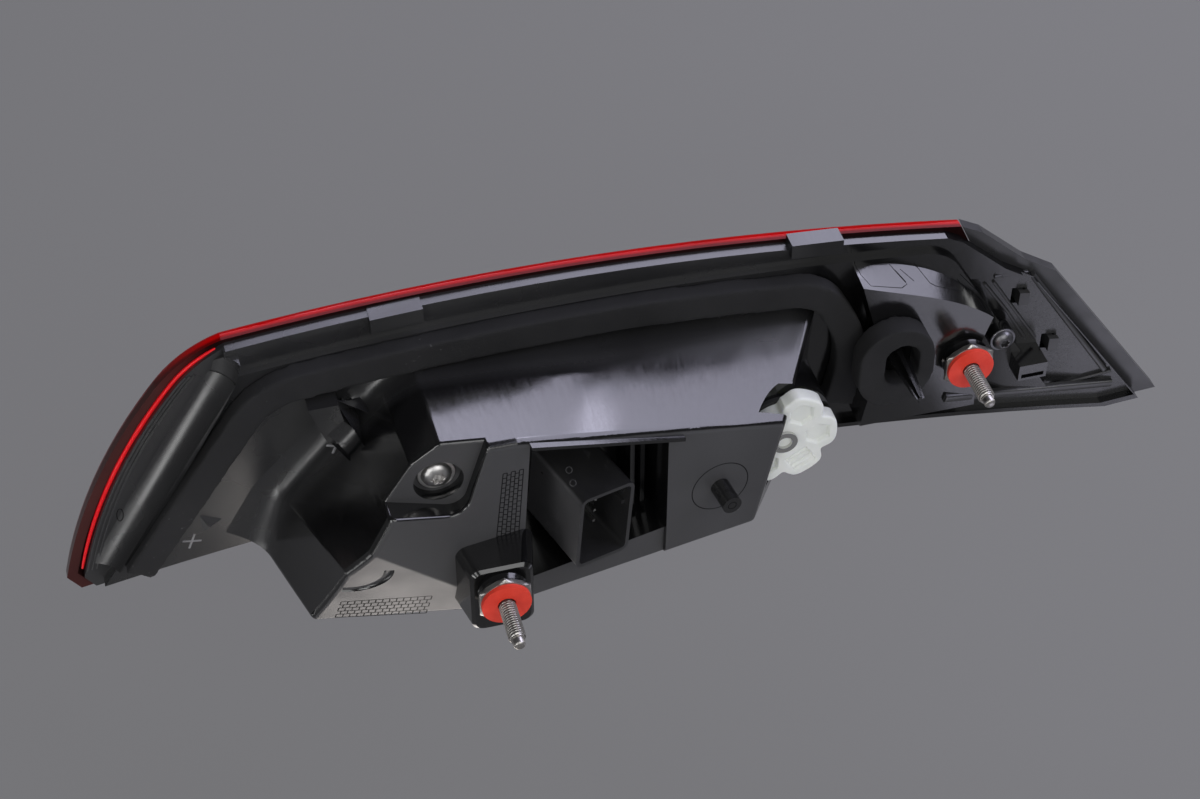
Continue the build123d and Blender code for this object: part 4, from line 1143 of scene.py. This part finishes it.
def stage_material():
    """Grey floor that camera, glossy and transmitted rays see nearly evenly lit, with the shadow on it."""
    material, tree, shader = new_material("stage_grey")
    mottle = noise_value(tree, coordinates(tree), 6.0)
    feed(tree, shader.inputs["Base Color"], blended(tree, mottle, FLOOR_DARK, FLOOR_LIGHT))
    shader.inputs["Roughness"].default_value = FLOOR_ROUGHNESS
    even = tree.nodes.new("ShaderNodeEmission")
    feed(tree, even.inputs["Color"], BACKDROP_GREY)
    path = tree.nodes.new("ShaderNodeLightPath")
    seen = path.outputs["Is Camera Ray"]
    for kind in ("Is Glossy Ray", "Is Transmission Ray"):
        seen = largest(tree, seen, path.outputs[kind])
    mix = tree.nodes.new("ShaderNodeMixShader")
    tree.links.new(times(tree, seen, BACKDROP_SHARE), mix.inputs["Fac"])
    tree.links.new(shader.outputs["BSDF"], mix.inputs[1])
    tree.links.new(even.outputs["Emission"], mix.inputs[2])
    tree.links.new(mix.outputs["Shader"], tree.nodes["Material Output"].inputs["Surface"])
    return material


def add_stage():
    """One large floor below the lamp."""
    mesh = bpy.data.meshes.new("floor")
    height = cad_box[0][2] - FLOOR_DROP
    signs = ((-1, -1), (1, -1), (1, 1), (-1, 1))
    corners = [(across * FLOOR_HALF, along * FLOOR_HALF, height) for across, along in signs]
    mesh.from_pydata(corners, [], [(0, 1, 2, 3)])
    floor = bpy.data.objects.new("floor", mesh)
    bpy.context.collection.objects.link(floor)
    floor.data.materials.append(stage_material())


def area_lamp(name, place, target, size, power, colour=WHITE, spread=pi):
    """Rectangular soft lamp aimed at a point, out of the camera's sight."""
    lamp = bpy.data.lights.new(name, "AREA")
    lamp.shape = "RECTANGLE"
    lamp.size, lamp.size_y = size
    lamp.energy = power
    lamp.color = colour
    lamp.spread = spread
    stand = bpy.data.objects.new(name, lamp)
    bpy.context.collection.objects.link(stand)
    stand.location = place
    stand.rotation_euler = (Vector(target) - Vector(place)).to_track_quat("-Z", "Y").to_euler()
    stand.visible_camera = False


def low_card(name, x, y, size, power, colour=WHITE):
    """Small card of light just above the floor, shining straight up."""
    area_lamp(name, (x, y, cad_box[0][2] - CARD_DROP), (x, y, CARD_AIM), size, power, colour)


def add_lamps():
    """Softboxes behind and at the right, low cards, a narrow strip at the left and soft fill."""
    area_lamp("softbox_back", (0.47, 1.10, 0.82), LAMP_TARGET, (1.1, 0.60), 7.6, COOL)
    area_lamp("softbox_right", (0.96, 0.16, 0.89), LAMP_TARGET, (1.5, 0.66), 12.5, COOL)
    low_card("card_facet", -0.03, 0.02, (0.07, 0.05), 0.036, WARM)
    low_card("card_plate", -0.036, -0.045, (0.022, 0.03), 0.007, WARM)
    low_card("card_right", 0.275, -0.10, (0.09, 0.12), 0.042, PALE_COOL)
    low_card("card_left", -0.25, -0.02, (0.10, 0.12), 0.06)
    area_lamp("strip_left", (-0.68, -0.62, -0.05), STRIP_TARGET, (0.35, 0.12), 0.045, spread=radians(40))
    area_lamp("fill_left", (-0.9, -1.0, 0.6), LAMP_TARGET, (0.6, 0.5), 4)
    area_lamp("fill_right", (1.15, 0.35, 0.12), LAMP_TARGET, (0.5, 0.4), 1.2)
    area_lamp("fill_front", (0.3, -1.2, 1.0), LAMP_TARGET, (1.2, 1.2), 10.5)


def add_world():
    """Dim even light from all round."""
    world = bpy.data.worlds.new("studio")
    bpy.context.scene.world = world
    world.use_nodes = True
    background = world.node_tree.nodes["Background"]
    feed(world.node_tree, background.inputs["Color"], WORLD_COLOUR)
    feed(world.node_tree, background.inputs["Strength"], WORLD_STRENGTH)


add_stage()
add_lamps()
add_world()
bpy.context.scene.view_settings.view_transform = "Standard"
